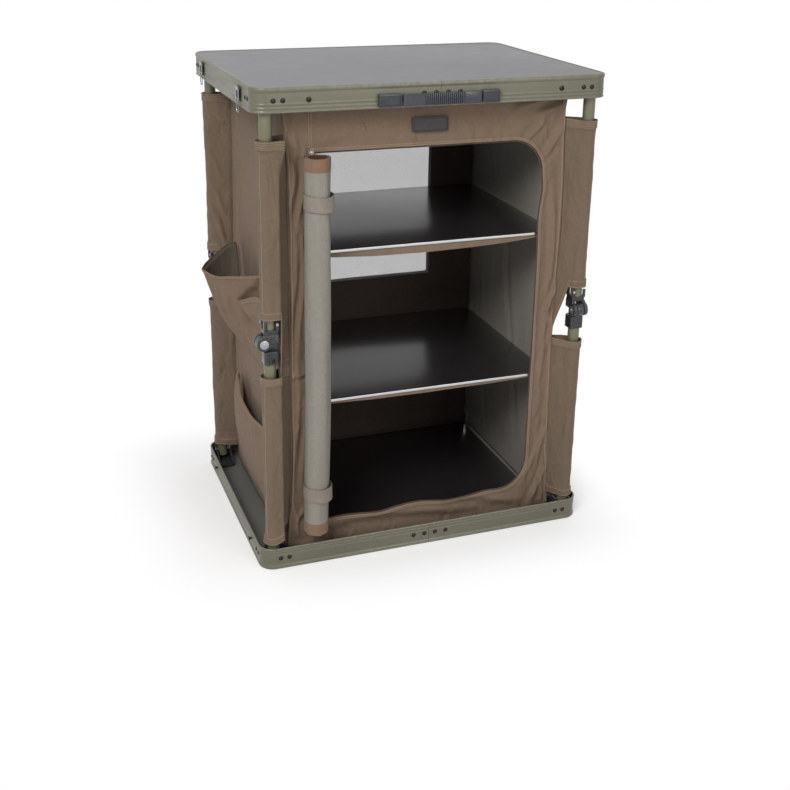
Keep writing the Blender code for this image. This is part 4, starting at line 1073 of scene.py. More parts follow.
lining_cloth = woven("lining_cloth", srgb(135, 130, 122), srgb(127, 123, 114), 0.05, 0.70, 0.0030)
door_pairs = matched_outlines(DOOR, DOOR_CORNERS, PANEL_CUT, 0.0026)
bm, flat = ringed(door_pairs, (0.0, 0.0005, 0.0030, 0.0061, 0.0071, 0.0090), 27, panel_on_front)
CLOTH_KEEP = 0.0718


def folds_down(*pieces, keep=CLOTH_KEEP):
    """Gives each piece its own copy of its mesh."""
    for each in pieces:
        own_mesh(each)


front_panel = cloth(
    "front_panel", bm, flat, [brown_cloth, lining_cloth], "base", ["cabinet_fabric"], always(0, -1, 0),
)
folds_down(front_panel)

# The cabinet's back panel. The same cloth, a dark brown on its inner face, with a window cut in it for the
# net, and hemmed round the window. It hangs straight between the two back legs.
WINDOW = (-0.1500, 0.3680, 0.1500, 0.7000)
BACK_FOLDS = (
    ((-0.238, 0.778), (-0.190, 0.712), 0.0040, 0.0016), ((0.238, 0.778), (0.186, 0.716), 0.0040, 0.0016),
    ((-0.205, 0.340), (-0.120, 0.060), 0.0070, 0.0014), ((0.210, 0.330), (0.130, 0.080), 0.0070, 0.0012),
    ((-0.020, 0.300), (0.030, 0.060), 0.0080, 0.0010), ((-0.190, 0.660), (-0.200, 0.420), 0.0060, 0.0010),
    ((0.196, 0.640), (0.190, 0.400), 0.0060, 0.0010),
)


def on_back(x, z, lift=0.0):
    """A place on the back cloth's face, or this far off it."""
    swell = 0.0022 * math.sin(math.pi * (z - WALL_FOOT) / (WALL_TOP - WALL_FOOT))
    rough = 0.0007 * ruffle(x * 22, z * 9, 7.3)
    return Vector((x, WALL_Y + swell + rough + folds(BACK_FOLDS, x, z) + lift, z))


def panel_on_back(u, v, width):
    """Where the back cut's point (u, v) comes, at a width from the window."""
    return on_back(u, v, hemmed(width, OPENING_HEM))


window_pairs = matched_outlines(WINDOW, (0.004,) * 4, PANEL_CUT, 0.0060)
bm, flat = ringed(window_pairs, (0.0, 0.0005, 0.0030, 0.0057, 0.0067, 0.0090), 18, panel_on_back)
back_panel = cloth("back_panel", bm, flat, [brown_cloth, dark_cloth], "base", (), always(0, 1, 0))
folds_down(back_panel)

# The cabinet's two side panels, of the same cloth and lining, seamed to the front and the back panel,
# and its floor, which lies on the base tray. The left one carries the pockets and is pulled by them.
BACK_EDGE, BACK_SPREAD = 0.2410, 0.0060
FLOOR_SIZE = (0.493, 0.371)
LEFT_FOLDS = (
    ((0.150, 0.780), (0.080, 0.560), 0.0090, 0.0040), ((-0.020, 0.790), (-0.060, 0.560), 0.0120, 0.0030),
    ((0.060, 0.740), (0.110, 0.520), 0.0070, 0.0024), ((-0.120, 0.770), (-0.100, 0.520), 0.0090, 0.0026),
    ((0.120, 0.270), (0.060, 0.060), 0.0090, 0.0026), ((-0.150, 0.280), (-0.120, 0.070), 0.0080, 0.0022),
    ((0.165, 0.690), (0.120, 0.500), 0.0060, 0.0040),
)
RIGHT_FOLDS = (
    ((0.150, 0.780), (0.090, 0.520), 0.0090, 0.0036), ((-0.150, 0.770), (-0.080, 0.500), 0.0080, 0.0032),
    ((0.020, 0.520), (-0.040, 0.120), 0.0110, 0.0032), ((0.140, 0.330), (0.090, 0.050), 0.0080, 0.0030),
    ((-0.150, 0.320), (-0.110, 0.040), 0.0080, 0.0030),
)


def on_side(sx, y, z):
    """A side panel's face: from the front panel's edge to the back's, bellied, with its folds, and held
    out by the boards' corners."""
    front = along(FRONT_LEFT_EDGE if sx < 0 else FRONT_RIGHT_EDGE, z)
    back = sx * (BACK_EDGE + BACK_SPREAD * smooth(0.80 - z, 0.0, 0.5))
    share = (y + WALL_Y) / (2 * WALL_Y)
    upright = math.sin(math.pi * min(max((z - WALL_FOOT) / (WALL_TOP - WALL_FOOT), 0), 1))
    across = math.sin(math.pi * min(max(share, 0), 1))
    rough = 0.0014 * ruffle(y * 20, z * 8, 3.0 * sx) + 0.0005 * ruffle(y * 70, z * 36, 9.0 * sx)
    swell = 0.0030 * upright * across ** 0.7 + rough * across ** 0.3
    swell += folds(LEFT_FOLDS if sx < 0 else RIGHT_FOLDS, y, z) * across ** 0.3
    straight = front + (back - front) * share
    held_out = front + (sx * max(abs(front), BOARD_HALF_X + 0.0022) - front) * smooth(y, -WALL_Y, -0.170)
    return Vector((sx * (max(abs(straight), abs(held_out)) + swell), y, z))


for side, sx in (("left", -1), ("right", 1)):
    size = (2 * WALL_Y, WALL_TOP - WALL_FOOT)
    bm, flat = hung(
        spaced(size[0], 0.0062), spaced(size[1], 0.0066),
        lambda u, v: on_side(sx, WALL_Y - u if sx < 0 else u - WALL_Y, WALL_FOOT + v),
    )
    wall = cloth(side + "_panel", bm, flat, [brown_cloth, lining_cloth], "base", (), always(sx, 0, 0))
    folds_down(wall)


def on_floor(u, v):
    """Where the floor's cut comes: just under the panels' feet, a little uneven."""
    x, y = u - FLOOR_SIZE[0] / 2, v - WALL_Y + 0.0005
    return x, y, WALL_FOOT - 0.0004 + 0.0004 * ruffle(x * 30, y * 30, 5.0)


bm, flat = hung(spaced(FLOOR_SIZE[0], 0.012), spaced(FLOOR_SIZE[1], 0.012), on_floor)
floor_cloth = cloth("floor_cloth", bm, flat, [brown_cloth, dark_cloth], "base", (), always(0, 0, -1))

# The eight leg sleeves. Strips of the brown cloth, hemmed at both ends, folded round each half of each
# leg and sewn into the cabinet's corners. The upper ones are cut long at the corner, so that a pointed
# web runs on below the tube, and are a little slack, so that they crease along the leg.
SLEEVE_RADIUS, SLEEVE_CUT_RADIUS = 0.0116, 0.0136
SLEEVE_HEM, SLEEVE_CLOTH = 0.0140, 0.0009
SLEEVE_HEADS = {"front_left": 0.733, "front_right": 0.738, "back_right": 0.742, "back_left": 0.742}
SEAM_SETBACK, BACK_SEAM = 0.0055, 0.2395
UPPER_FOOT, LOWER_SLEEVE = 0.447, (0.044, 0.348)
WEB_FOOT = 0.350
LOWER_LIFT = 0.024
SLEEVE_KEEP = 0.038
OUTER_SEAMS = {"front_left": 1.86, "front_right": 1.48, "back_right": 1.30, "back_left": 2.43}
LOOSE_WEB = 0.066
WEB_TURN = (
    (0.365, (0.0182, 0.0255), (0.0297, 0.0153)), (0.603, (0.0181, 0.0098), (0.0262, 0.0000)),
    (0.691, (0.0180, 0.0040), (0.0204, 0.0000)), (0.735, (0.0172, 0.0012), (0.0175, 0.0000)),
    (0.773, (0.0150, 0.0000), (0.0150, 0.0000)),
)
SLEEVE_CREASES = (
    ((0.080, 0.585), (0.111, 0.520), 0.0042, 0.0040), ((0.078, 0.530), (0.113, 0.470), 0.0044, 0.0046),
    ((0.084, 0.500), (0.115, 0.455), 0.0038, 0.0036), ((0.076, 0.640), (0.107, 0.590), 0.0042, 0.0028),
)
# A darker copy of the brown cloth for the sleeves: painted shade, for the shadow in the grooves and corners
# round the legs.
shaded_sleeve_cloth = woven("shaded_sleeve_cloth", srgb(112, 95, 79), srgb(101, 87, 71), crumple=0.0110)


def corner_place(sx, sy, z):
    """Where a sleeve is sewn in, a little behind the panel's corner and inside the side panel's face."""
    if sy > 0:
        spread = BACK_SPREAD * smooth(0.80 - z, 0.0, 0.5)
        return Vector((sx * (BACK_SEAM + spread), WALL_Y - SEAM_SETBACK))
    edge = along(FRONT_LEFT_EDGE if sx < 0 else FRONT_RIGHT_EDGE, z)
    return Vector((edge - sx * 0.0015, SEAM_SETBACK - WALL_Y))


def sleeve_cut(sx, sy):
    """The sleeve's plan: its length, the lengths of its two webs, and a reader of its places."""
    centre = Vector((sx * LEG_X, sy * LEG_Y))
    reach = corner_place(sx, sy, 0.45) - centre
    tight = math.sqrt(reach.length ** 2 - SLEEVE_RADIUS ** 2)
    lean = math.acos(SLEEVE_RADIUS / reach.length)
    start = math.atan2(reach.y, reach.x)
    front_left = sx < 0 and sy < 0
    leans = (lean, start + math.pi / 2 if front_left else lean)
    webs = (tight, LOOSE_WEB if front_left else tight)
    loop = SLEEVE_CUT_RADIUS * (2 * math.pi - leans[0] - leans[1])
    length = webs[0] + loop + webs[1]

    def read(u, z, lift):
        """The front-left sleeves' front web runs on past the leg, and turns in deep before its seam, but
        runs flatter at its head, where the hem holds it."""
        last = u > webs[0] + loop
        share = (length - u) / webs[1] if last else u / webs[0]
        angle = start - leans[1] if last else start + leans[0] + max(u - webs[0], 0.0) / SLEEVE_CUT_RADIUS
        outward = Vector((math.cos(angle), math.sin(angle)))
        place = centre + outward * SLEEVE_RADIUS
        if share < 1 and last and front_left:
            held, size = smooth(z, 0.655, 0.725), 1.0 - 0.05 * smooth(z, 0.44, 0.35)
            line = [(at, place + Vector(deep).lerp(Vector(shallow), held) * size)
                    for at, deep, shallow in WEB_TURN]
            place = along([(0.0, corner_place(sx, sy, z))] + line + [(1.0, place)], share)
        elif share < 1:
            place = corner_place(sx, sy, z).lerp(place, share) + outward * 0.0012 * math.sin(math.pi * share)
        place = place + outward * lift
        return Vector((place.x, place.y, z))

    return length, webs, read


def sleeve_surface(sx, sy, low, high, seed):
    """A sleeve's cut, the lengths of its webs, and the place of each point of it."""
    length, webs, read = sleeve_cut(sx, sy)
    height = high - low

    def place(u, v):
        """The web's foot is cut lower or higher than the loop's, and the loop is slack along the leg."""
        into_web = max((webs[0] - u) / webs[0], (webs[1] - length + u) / webs[1], 0.0)
        in_loose_web = sx < 0 and sy < 0 and u > webs[0] + 0.02
        if low == UPPER_FOOT:
            drop = smooth(into_web, 0.24, 0.44) if in_loose_web else max((into_web - 0.25) / 0.75, 0.0) ** 0.9
            foot = low - (low - WEB_FOOT) * drop
        else:
            foot = low + LOWER_LIFT * into_web * in_loose_web
        near = min(v, height - v)
        z = foot + (high - foot + 0.003 * into_web) * v / height
        slack = 0.0013 * (1 + ruffle(u * 58, z * 11, seed))
        slack += 0.0008 * (1 + ruffle(u * 120 + z * 50, z * 36, seed + 5))
        slack += 0.0012 * smooth(near, 0.030, 0.0) * (1 + math.sin(u * 210 + seed)) * 0.5
        slack += max(folds(SLEEVE_CREASES, u, z), -0.0006) if sx < 0 < sy else 0.0
        slack *= smooth(1.0 - into_web, 0.0, 0.20)
        return read(u, z, slack + hem(v, height, (SLEEVE_HEM, SLEEVE_HEM)))

    return length, webs, height, place


def sleeve_outward(sx, sy):
    """The way out of the tube for the loop round it, and none for the webs."""
    centre = Vector((sx * LEG_X, sy * LEG_Y, 0))

    def outward(middle):
        """The way from the tube's middle, near the tube."""
        away = middle - centre
        return away * Vector((1, 1, 0)) if away.xy.length < 0.016 else Vector()

    return outward


sleeves = {}
for index, (name, sx, sy, _) in enumerate(CORNERS):
    for half, low, high in (("upper", UPPER_FOOT, SLEEVE_HEADS[name]), ("lower", *LOWER_SLEEVE)):
        length, webs, height, place = sleeve_surface(sx, sy, low, high, 2.0 + index * 3.1 + (half == "upper"))
        bm, flat = hung(spaced(length, 0.0024), spaced(height, 0.0052, (SLEEVE_HEM, SLEEVE_HEM)), place)
        label = name + "_" + half + "_sleeve"
        made = cloth(
            label, bm, flat, [shaded_sleeve_cloth, shaded_sleeve_cloth], "base", (), sleeve_outward(sx, sy), SLEEVE_CLOTH,
        )
        loose = name == "front_left"
        point = UPPER_FOOT - WEB_FOOT if half == "upper" else -LOWER_LIFT * loose
        size = (length, height + max(point, 0.0))
        folds_down(made, keep=SLEEVE_KEEP)
        sleeves[label] = (length, height, webs[0] + OUTER_SEAMS[name] * SLEEVE_CUT_RADIUS, place)

# The door, unzipped and rolled up lining outward along its left edge, where it is sewn to the opening.
# It has a binding of rust-brown tape at its head and foot, and two straps of lining cloth round it.
ROLL_CENTRE = Vector((-0.1965, -0.2146))
ROLL_LEVELS = (0.0590, 0.7050)
ROLL_OUTER, ROLL_PITCH, ROLL_TURNS = 0.0218, 0.0019, 3.3
DOOR_SEAM = Vector((-0.1990, -0.1878))
BINDING, DOOR_CLOTH = 0.021, 0.0010


def roll_axis(z):
    """The middle of the roll, which hangs a little to the left towards its foot."""
    return ROLL_CENTRE - Vector((0.0056 * smooth(0.40 - z, 0.0, 0.36), 0))


def from_roll(middle):
    """The way out of the roll at a place."""
    return Vector((middle.x - ROLL_CENTRE.x, middle.y - ROLL_CENTRE.y, 0))


def roll_surface():
    """The rolled cut: its width, and the place of each point, from the seam in to the roll's middle."""
    first = (ROLL_CENTRE + Vector((0, ROLL_OUTER)) - DOOR_SEAM).length
    start = math.radians(86)
    lengths, at = [0.0], 0.0
    steps = 120
    for k in range(steps):
        turn = (k + 0.5) / steps * ROLL_TURNS
        at += (ROLL_OUTER - ROLL_PITCH * turn) * 2 * math.pi * ROLL_TURNS / steps
        lengths.append(at)
    table = [(lengths[k], ROLL_TURNS * k / steps) for k in range(steps + 1)]

    def place(u, v):
        """The roll is dented where it is strapped and at its foot, and a binding raises it at both ends."""
        z = ROLL_LEVELS[0] + v
        turn = along(table, min(max(u - first, 0.0), lengths[-1]))
        angle = start + turn * 2 * math.pi
        dent = 0.0005 * ruffle(3 * math.cos(angle), 3 * math.sin(angle) + z * 7, 1.3)
        dent += 0.0007 * math.sin(3 * angle + 1.5 * math.sin(z * 9)) + 0.0004 * math.sin(7 * angle + z * 14)
        dent -= 0.0007 * (1 - smooth(abs(z - 0.636), 0.01, 0.05)) + 0.0010 * (1 - smooth(z, 0.06, 0.20))
        radius = ROLL_OUTER - ROLL_PITCH * turn + dent
        from_end = min(v, ROLL_LEVELS[1] - ROLL_LEVELS[0] - v)
        radius += 0.0004 * (1 - smooth(from_end, BINDING - 0.0005, BINDING + 0.0005))
        spot = roll_axis(z) + Vector((math.cos(angle), math.sin(angle))) * radius
        if u < first:
            spot = DOOR_SEAM.lerp(spot, u / first)
        return spot.x, spot.y, z

    return first + lengths[-1], place


binding_cloth = woven("binding_cloth", srgb(126, 100, 80), srgb(114, 89, 70), 0.10, crumple=0.0040)
rust_cloth = woven("rust_cloth", srgb(82, 54, 45), srgb(72, 48, 40), 0.05, crumple=0.0030)
strap_cloth = woven("strap_cloth", srgb(133, 125, 115), srgb(124, 116, 107), 0.05, 0.75, 0.0040)
width, on_roll = roll_surface()
length = ROLL_LEVELS[1] - ROLL_LEVELS[0]
bm, flat = hung(spaced(width, 0.0040), spaced(length, 0.0075, (BINDING, BINDING)), on_roll)
for face in bm.faces:
    middle = face.calc_center_median()
    if min(middle.z - ROLL_LEVELS[0], ROLL_LEVELS[1] - middle.z) < BINDING:
        face.material_index = 2
door = cloth(
    "rolled_door_cloth", bm, flat, [lining_cloth, brown_cloth, binding_cloth, rust_cloth],
    "door_roll", ["rolled_door"], from_roll, DOOR_CLOTH,
)

STRAP_WIDTH, STRAP_TAIL, STRAP_CLOTH = 0.024, 0.008, 0.0008
STRAP_RADIUS = ROLL_OUTER + 0.0009


def strap_surface(level):
    """A strap's length and place: out from the seam, close round the roll, and slack in front."""
    around = 2 * math.pi * 0.98

    def place(u, v):
        """The tail from the seam is straight, and the rest goes round."""
        share = min(max((u - STRAP_TAIL) / (around * STRAP_RADIUS), 0.0), 1.0)
        angle = math.radians(94) + share * around
        lower = 1 - v / STRAP_WIDTH
        slack = 0.0032 * math.exp(-((share - 0.70) / 0.08) ** 2)
        slack += 0.0024 * lower ** 3 * math.exp(-((share - 0.58) / 0.10) ** 2)
        spot = roll_axis(level) + Vector((math.cos(angle), math.sin(angle))) * (STRAP_RADIUS + slack)
        if u < STRAP_TAIL:
            spot = (DOOR_SEAM + Vector((0.0006, 0))).lerp(spot, u / STRAP_TAIL)
        sag = 0.0016 * math.sin(angle) - 0.0014 * math.exp(-((share - 0.60) / 0.15) ** 2)
        return spot.x, spot.y, level - STRAP_WIDTH / 2 + v + sag

    return STRAP_TAIL + around * STRAP_RADIUS, place


straps = [door]
for name, level in (("door_strap_lower", 0.136), ("door_strap_upper", 0.636)):
    width, place = strap_surface(level)
    bm, flat = hung(spaced(width, 0.0028), spaced(STRAP_WIDTH, 0.0040, (0.004, 0.004)), place)
    strap = cloth(
        name + "_webbing", bm, flat, [strap_cloth, strap_cloth], "door_roll", [name], from_roll, STRAP_CLOTH,
    )
    straps.append(strap)
for strap in straps:
    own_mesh(strap)

# The left side's pockets. Three patches of the brown cloth, hemmed along their mouths and stitched on at
# their other edges: a large one whose slack mouth stands out to a corner, a small one on its front that
# gapes a little, and a low wide one that hangs open.
POCKET_X = -0.2524
POCKET_HEM = 0.0070
LARGE_BACK_SEAM = (
    (-0.2528, 0.121, 0.482), (POCKET_X, 0.103, 0.424), (POCKET_X, 0.086, 0.358),
    (POCKET_X, 0.069, 0.294),
)
LARGE_CREASE = (
    (-0.3310, 0.050, 0.459), (-0.3155, 0.055, 0.411), (-0.3055, 0.058, 0.387), (-0.2910, 0.060, 0.353),
    (-0.2690, 0.064, 0.318), (POCKET_X, 0.069, 0.294),
)
LARGE_FRONT_SEAM = (
    (POCKET_X, -0.170, 0.488), (POCKET_X, -0.170, 0.424), (POCKET_X, -0.170, 0.360),
    (POCKET_X, -0.170, 0.295),
)
LARGE_BACK_MOUTH = (
    (-0.2530, 0.121, 0.482), (-0.2730, 0.112, 0.4805), (-0.2900, 0.100, 0.4735),
    (-0.3070, 0.085, 0.4665), (-0.3200, 0.070, 0.463), (-0.3310, 0.050, 0.459),
)
LARGE_FRONT_MOUTH = (
    (-0.3310, 0.050, 0.459), (-0.3220, 0.032, 0.4555), (-0.3110, 0.010, 0.4555),
    (-0.2910, -0.012, 0.460), (-0.2690, -0.042, 0.467), (-0.2560, -0.080, 0.478),
    (-0.2530, -0.125, 0.485), (POCKET_X, -0.170, 0.488),
)
LARGE_FOOT = (
    (POCKET_X, 0.069, 0.294), (POCKET_X, -0.004, 0.299), (POCKET_X, -0.090, 0.298),
    (POCKET_X, -0.170, 0.295),
)
LARGE_FOLDS = (
    ((0.045, 0.010), (0.030, 0.170), 0.0080, 0.0034), ((0.080, 0.012), (0.075, 0.180), 0.0070, 0.0028),
    ((0.112, 0.080), (0.120, 0.190), 0.0036, -0.0056), ((0.020, 0.050), (0.060, 0.185), 0.0070, 0.0026),
    ((0.150, 0.010), (0.200, 0.060), 0.0070, 0.0024),
)
LARGE_HEIGHT, LARGE_BACK_WIDTH, LARGE_FRONT_WIDTH, LARGE_AREA = 0.190, 0.108, 0.245, 0.0565
SMALL_BACK_SEAM = ((0.425, 0.210), (0.485, 0.350), (0.570, 0.435), (0.645, 0.495), (0.720, 0.550))
SMALL_WIDTH, SMALL_HEIGHT = 0.130, 0.078
LOW_MOUTH = (
    (-0.2526, 0.128, 0.223), (-0.2555, 0.115, 0.217), (-0.2595, 0.087, 0.213), (-0.2630, 0.061, 0.204),
    (-0.2640, 0.019, 0.195), (-0.2620, -0.026, 0.196), (-0.2560, -0.080, 0.197),
    (POCKET_X, -0.165, 0.200),
)
LOW_BACK_SEAM = ((POCKET_X, 0.128, 0.223), (POCKET_X, 0.131, 0.130), (POCKET_X, 0.131, 0.046))
LOW_FRONT_SEAM = ((POCKET_X, -0.165, 0.200), (POCKET_X, -0.165, 0.120), (POCKET_X, -0.165, 0.046))
LOW_FOOT = (
    (POCKET_X, 0.131, 0.046), (-0.2550, 0.060, 0.045), (-0.2550, -0.080, 0.045),
    (POCKET_X, -0.165, 0.046),
)
LOW_WIDTH, LOW_HEIGHT = 0.302, 0.160
POCKET_FACE_OUT, POCKET_END_OUT = Vector((-1, -0.3, 0)), Vector((-0.7, 1, 0))


def curve(points, share):
    """A place on a smooth line through points, at a share of its spans."""
    at = min(max(share, 0.0), 1.0) * (len(points) - 1)
    k = min(int(at), len(points) - 2)
    t = at - k
    a, b, c, d = (Vector(points[min(max(i, 0), len(points) - 1)]) for i in (k - 1, k, k + 1, k + 2))
    bend, twist = 2 * a - 5 * b + 4 * c - d, 3 * b - a - 3 * c + d
    return 0.5 * (2 * b + (c - a) * t + bend * t ** 2 + twist * t ** 3)


def patch(first, last, top, foot, s, t):
    """A place in a smooth patch between its first and last edge, its top and its foot."""
    ruled = curve(first, t).lerp(curve(last, t), s) + curve(top, s).lerp(curve(foot, s), t)
    return ruled - Vector(top[0]).lerp(Vector(top[-1]), s).lerp(Vector(foot[0]).lerp(Vector(foot[-1]), s), t)


def lifted(place, u, v, lift, outward):
    """A place on a surface, raised off it, to the side that faces outward."""
    here = Vector(place(u, v))
    step = 0.0006
    normal = (Vector(place(u + step, v)) - here).cross(Vector(place(u, v + step)) - here)
    if normal.length < 1e-12:
        return here
    normal.normalize()
    return here + normal * (lift if normal.dot(outward) > 0 else -lift)


def large_front(u, v):
    """The large pocket's face, from its crease forward."""
    s, t = u / LARGE_FRONT_WIDTH, v / LARGE_HEIGHT
    return patch(LARGE_CREASE, LARGE_FRONT_SEAM, LARGE_FRONT_MOUTH, LARGE_FOOT, s, t)


def large_back(u, v):
    """Its end, from the back seam out to the crease, which comes to a point at the foot."""
    foot = (LARGE_BACK_SEAM[-1], LARGE_BACK_SEAM[-1])
    s, t = u / LARGE_BACK_WIDTH, v / LARGE_HEIGHT
    return patch(LARGE_BACK_SEAM, LARGE_CREASE, LARGE_BACK_MOUTH, foot, s, t)


def large_pocket(u, v):
    """The large pocket's cut: its end, and its face with folds, sunk behind the small pocket's mouth."""
    doubled = hemmed(v, POCKET_HEM)
    if u < LARGE_BACK_WIDTH:
        sway = 0.0030 * math.sin(math.pi * u / LARGE_BACK_WIDTH) * math.sin(math.pi * v / LARGE_HEIGHT)
        return lifted(large_back, u, v, doubled + sway, POCKET_END_OUT)
    u -= LARGE_BACK_WIDTH
    s, t = u / LARGE_FRONT_WIDTH, v / LARGE_HEIGHT
    sink = 0.0095 * smooth(t - 0.21 + (s - 0.425) * 0.72, 0.0, 0.05)
    sink = sink * smooth(s, 0.40, 0.47) * (1 - smooth(t, 0.50, 0.72))
    held = math.sin(math.pi * min(s * 1.2 + 0.1, 1)) * math.sin(math.pi * min(t + 0.12, 1))
    slack = folds(LARGE_FOLDS, u, v) + 0.0012 * ruffle(u * 24, v * 16, 8.8)
    return lifted(large_front, u, v, doubled - sink + slack * held, POCKET_FACE_OUT)


def small_pocket(u, v):
    """The small pocket's cut on the large one's face, gaping at its mouth beyond its back seam."""
    a, b = u / SMALL_WIDTH, v / SMALL_HEIGHT
    first = curve([(s, t, 0) for s, t in SMALL_BACK_SEAM], b)
    s = first.x + (1.0 - first.x) * a
    t = first.y + (0.15 + 0.45 * b - first.y) * a
    edge = smooth(a, 0.0, 0.16)
    gape = 0.0018 + 0.0150 * edge * (1 - b) ** 1.3 + 0.0022 * edge * math.sin(math.pi * b)
    gape += 0.0006 * ruffle(u * 40, v * 30, 2.2)
    gape += hemmed(v, POCKET_HEM)
    return lifted(large_front, s * LARGE_FRONT_WIDTH, t * LARGE_HEIGHT, gape, POCKET_FACE_OUT)


def low_pocket(u, v):
    """The low pocket's cut, bellied out from the panel."""
    s, t = u / LOW_WIDTH, v / LOW_HEIGHT
    spot = patch(LOW_BACK_SEAM, LOW_FRONT_SEAM, LOW_MOUTH, LOW_FOOT, s, t)
    belly = 0.0130 * math.sin(math.pi * s ** 0.45) ** 0.7 * math.sin(math.pi * t ** 0.6) ** 0.9
    belly += 0.0022 * ruffle(u * 20, v * 14, 6.1) * math.sin(math.pi * s)
    belly += hemmed(v, POCKET_HEM)
    return spot + Vector((-belly, 0, 0))


us = spaced(LARGE_BACK_WIDTH, 0.0045)
us += [LARGE_BACK_WIDTH + u for u in spaced(LARGE_FRONT_WIDTH, 0.0040)[1:]]
# The pockets' inner faces are darker than the brown cloth: partly their lining's colour, partly painted shade
# inside the pockets.
pocket_lining_and_shade = woven("pocket_lining_and_shade", srgb(101, 93, 79), srgb(90, 83, 69), 0.03, 0.78, 0.0040)
bm, flat = hung(us, spaced(LARGE_HEIGHT, 0.0040, (POCKET_HEM, 0)), large_pocket)
large = cloth(
    "large_pocket", bm, flat, [brown_cloth, pocket_lining_and_shade], "base", ["upper_pocket"],
    lambda middle: POCKET_END_OUT if middle.y > 0.062 else POCKET_FACE_OUT,
)
bm, flat = hung(spaced(SMALL_WIDTH, 0.0036), spaced(SMALL_HEIGHT, 0.0036, (POCKET_HEM, 0)), small_pocket)
small = cloth("small_pocket", bm, flat, [brown_cloth, pocket_lining_and_shade], "base", (), always(*POCKET_FACE_OUT))
bm, flat = hung(spaced(LOW_WIDTH, 0.0050), spaced(LOW_HEIGHT, 0.0045, (POCKET_HEM, 0)), low_pocket)
low = cloth(
    "low_pocket", bm, flat, [brown_cloth, pocket_lining_and_shade], "base", ["lower_pocket"], always(-1, 0, 0),
)
folds_down(low)
for made in (large, small):
    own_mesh(made)

# The stitching. Brown thread in a lock stitch: round the door's opening and the window, along the
# panels' edges, up each sleeve's seam, and at the hems of the sleeves and the pockets.
STITCH_LENGTH, STITCH_PITCH, STITCH_RADIUS = 0.0031, 0.0041, 0.00054


def to_axes(*axes):
    """The turn that takes a part's X, Y and Z to three axes."""
    return Matrix(axes).transposed().to_4x4()


def sew(bm, place, line):
    """Stitches along a line of (u, v) places, each half sunk in the cloth that place(u, v) gives."""
    carried = 0.0
    points = [Vector(place(u, v)) for u, v in line]
    for k in range(len(points) - 1):
        here, way = points[k], points[k + 1] - points[k]
        length = way.length
        if length < 1e-6:
            continue
        u, v = line[k]
        step = 0.0008
        normal = (Vector(place(u + step, v)) - here).cross(Vector(place(u, v + step)) - here)
        ahead = way.normalized()
        aside = normal.cross(ahead).normalized()
        spot = carried
        while spot < length:
            turn = to_axes(ahead, aside, ahead.cross(aside))
            stamp(bm, stitch, Matrix.Translation(here + ahead * spot) @ turn)
            spot += STITCH_PITCH
        carried = spot - length


def steps_between(start, end, pitch=0.004):
    """Places in even steps from one point to another."""
    (u0, v0), (u1, v1) = start, end
    count = max(2, round(math.hypot(u1 - u0, v1 - v0) / pitch))
    return [(u0 + (u1 - u0) * k / count, v0 + (v1 - v0) * k / count) for k in range(count + 1)]


def thread(name, colour):
    """Twisted thread: a fine ply across each stitch."""
    made, tree, shader, place = new_finish(name, 0.60, specular=0.35)
    wavy = {"Vector": place, "Scale": 800.0, "Distortion": 1.0}
    ply = node(tree, "TexWave", wavy, bands_direction="DIAGONAL").outputs["Fac"]
    tree.links.new(between(tree, ply, colour, shade(colour, 0.6)), shader.inputs["Base Color"])
    relief(tree, shader, ply, 0.00008)
    return made


bm = bmesh.new()
bmesh.ops.create_icosphere(bm, subdivisions=1, radius=1.0)
bmesh.ops.scale(bm, vec=(STITCH_LENGTH / 2, STITCH_RADIUS, STITCH_RADIUS), verts=bm.verts)
stitch = as_mesh(bm, "stitch")
brown_thread = thread("brown_thread", srgb(172, 154, 131))

bm = bmesh.new()
for offset in (0.0018, 0.0050):
    line = [tuple(inner + (outer - inner).normalized() * offset) for inner, outer in door_pairs]
    sew(bm, lambda u, v: panel_on_front(u, v, offset), line + line[:1])
for u, foot in ((-0.2436, WALL_FOOT), (0.2436, WALL_FOOT), (-0.2025, 0.7160), (-0.1985, 0.7160)):
    sew(bm, lambda u, v: panel_on_front(u, v, 1.0), steps_between((u, foot), (u, 0.800)))
front_stitches = piece("front_stitches", bm, [brown_thread], "base")
bm = bmesh.new()
x, foot, _, top = WINDOW
rim = [(x, foot), (-x, foot), (-x, top), (x, top)]
for offset in (0.0016, 0.0050):
    for k in range(4):
        ends = [(u + math.copysign(offset, u), v + (offset if v > 0.5 else -offset))
                for u, v in (rim[k], rim[(k + 1) % 4])]
        sew(bm, lambda u, v: panel_on_back(u, v, 0.003), steps_between(*ends))
for u in (-0.2440, 0.2440):
    sew(bm, lambda u, v: panel_on_back(u, v, 1.0), steps_between((u, WALL_FOOT), (u, 0.800)))
back_stitches = piece("back_stitches", bm, [brown_thread], "base")
bm = bmesh.new()
for length, height, seam, place in sleeves.values():
    sew(bm, place, steps_between((seam, SLEEVE_HEM), (seam, height - SLEEVE_HEM)))
    rows = [0.0016, SLEEVE_HEM - 0.0018, height - SLEEVE_HEM + 0.0018]
    for v in rows + [height - 0.0090, height - 0.0052, height - 0.0016]:
        sew(bm, place, steps_between((0.004, v), (length - 0.004, v), 0.002))
sleeve_stitches = piece("sleeve_stitches", bm, [brown_thread], "base")
bm = bmesh.new()
for v in (0.0014, POCKET_HEM - 0.0014):
    sew(bm, low_pocket, steps_between((0.002, v), (LOW_WIDTH - 0.002, v), 0.003))
sew(bm, low_pocket, steps_between((0.0022, 0.004), (0.0022, LOW_HEIGHT), 0.003))
low_stitches = piece("low_pocket_stitches", bm, [brown_thread], "base")
bm = bmesh.new()
total = LARGE_BACK_WIDTH + LARGE_FRONT_WIDTH
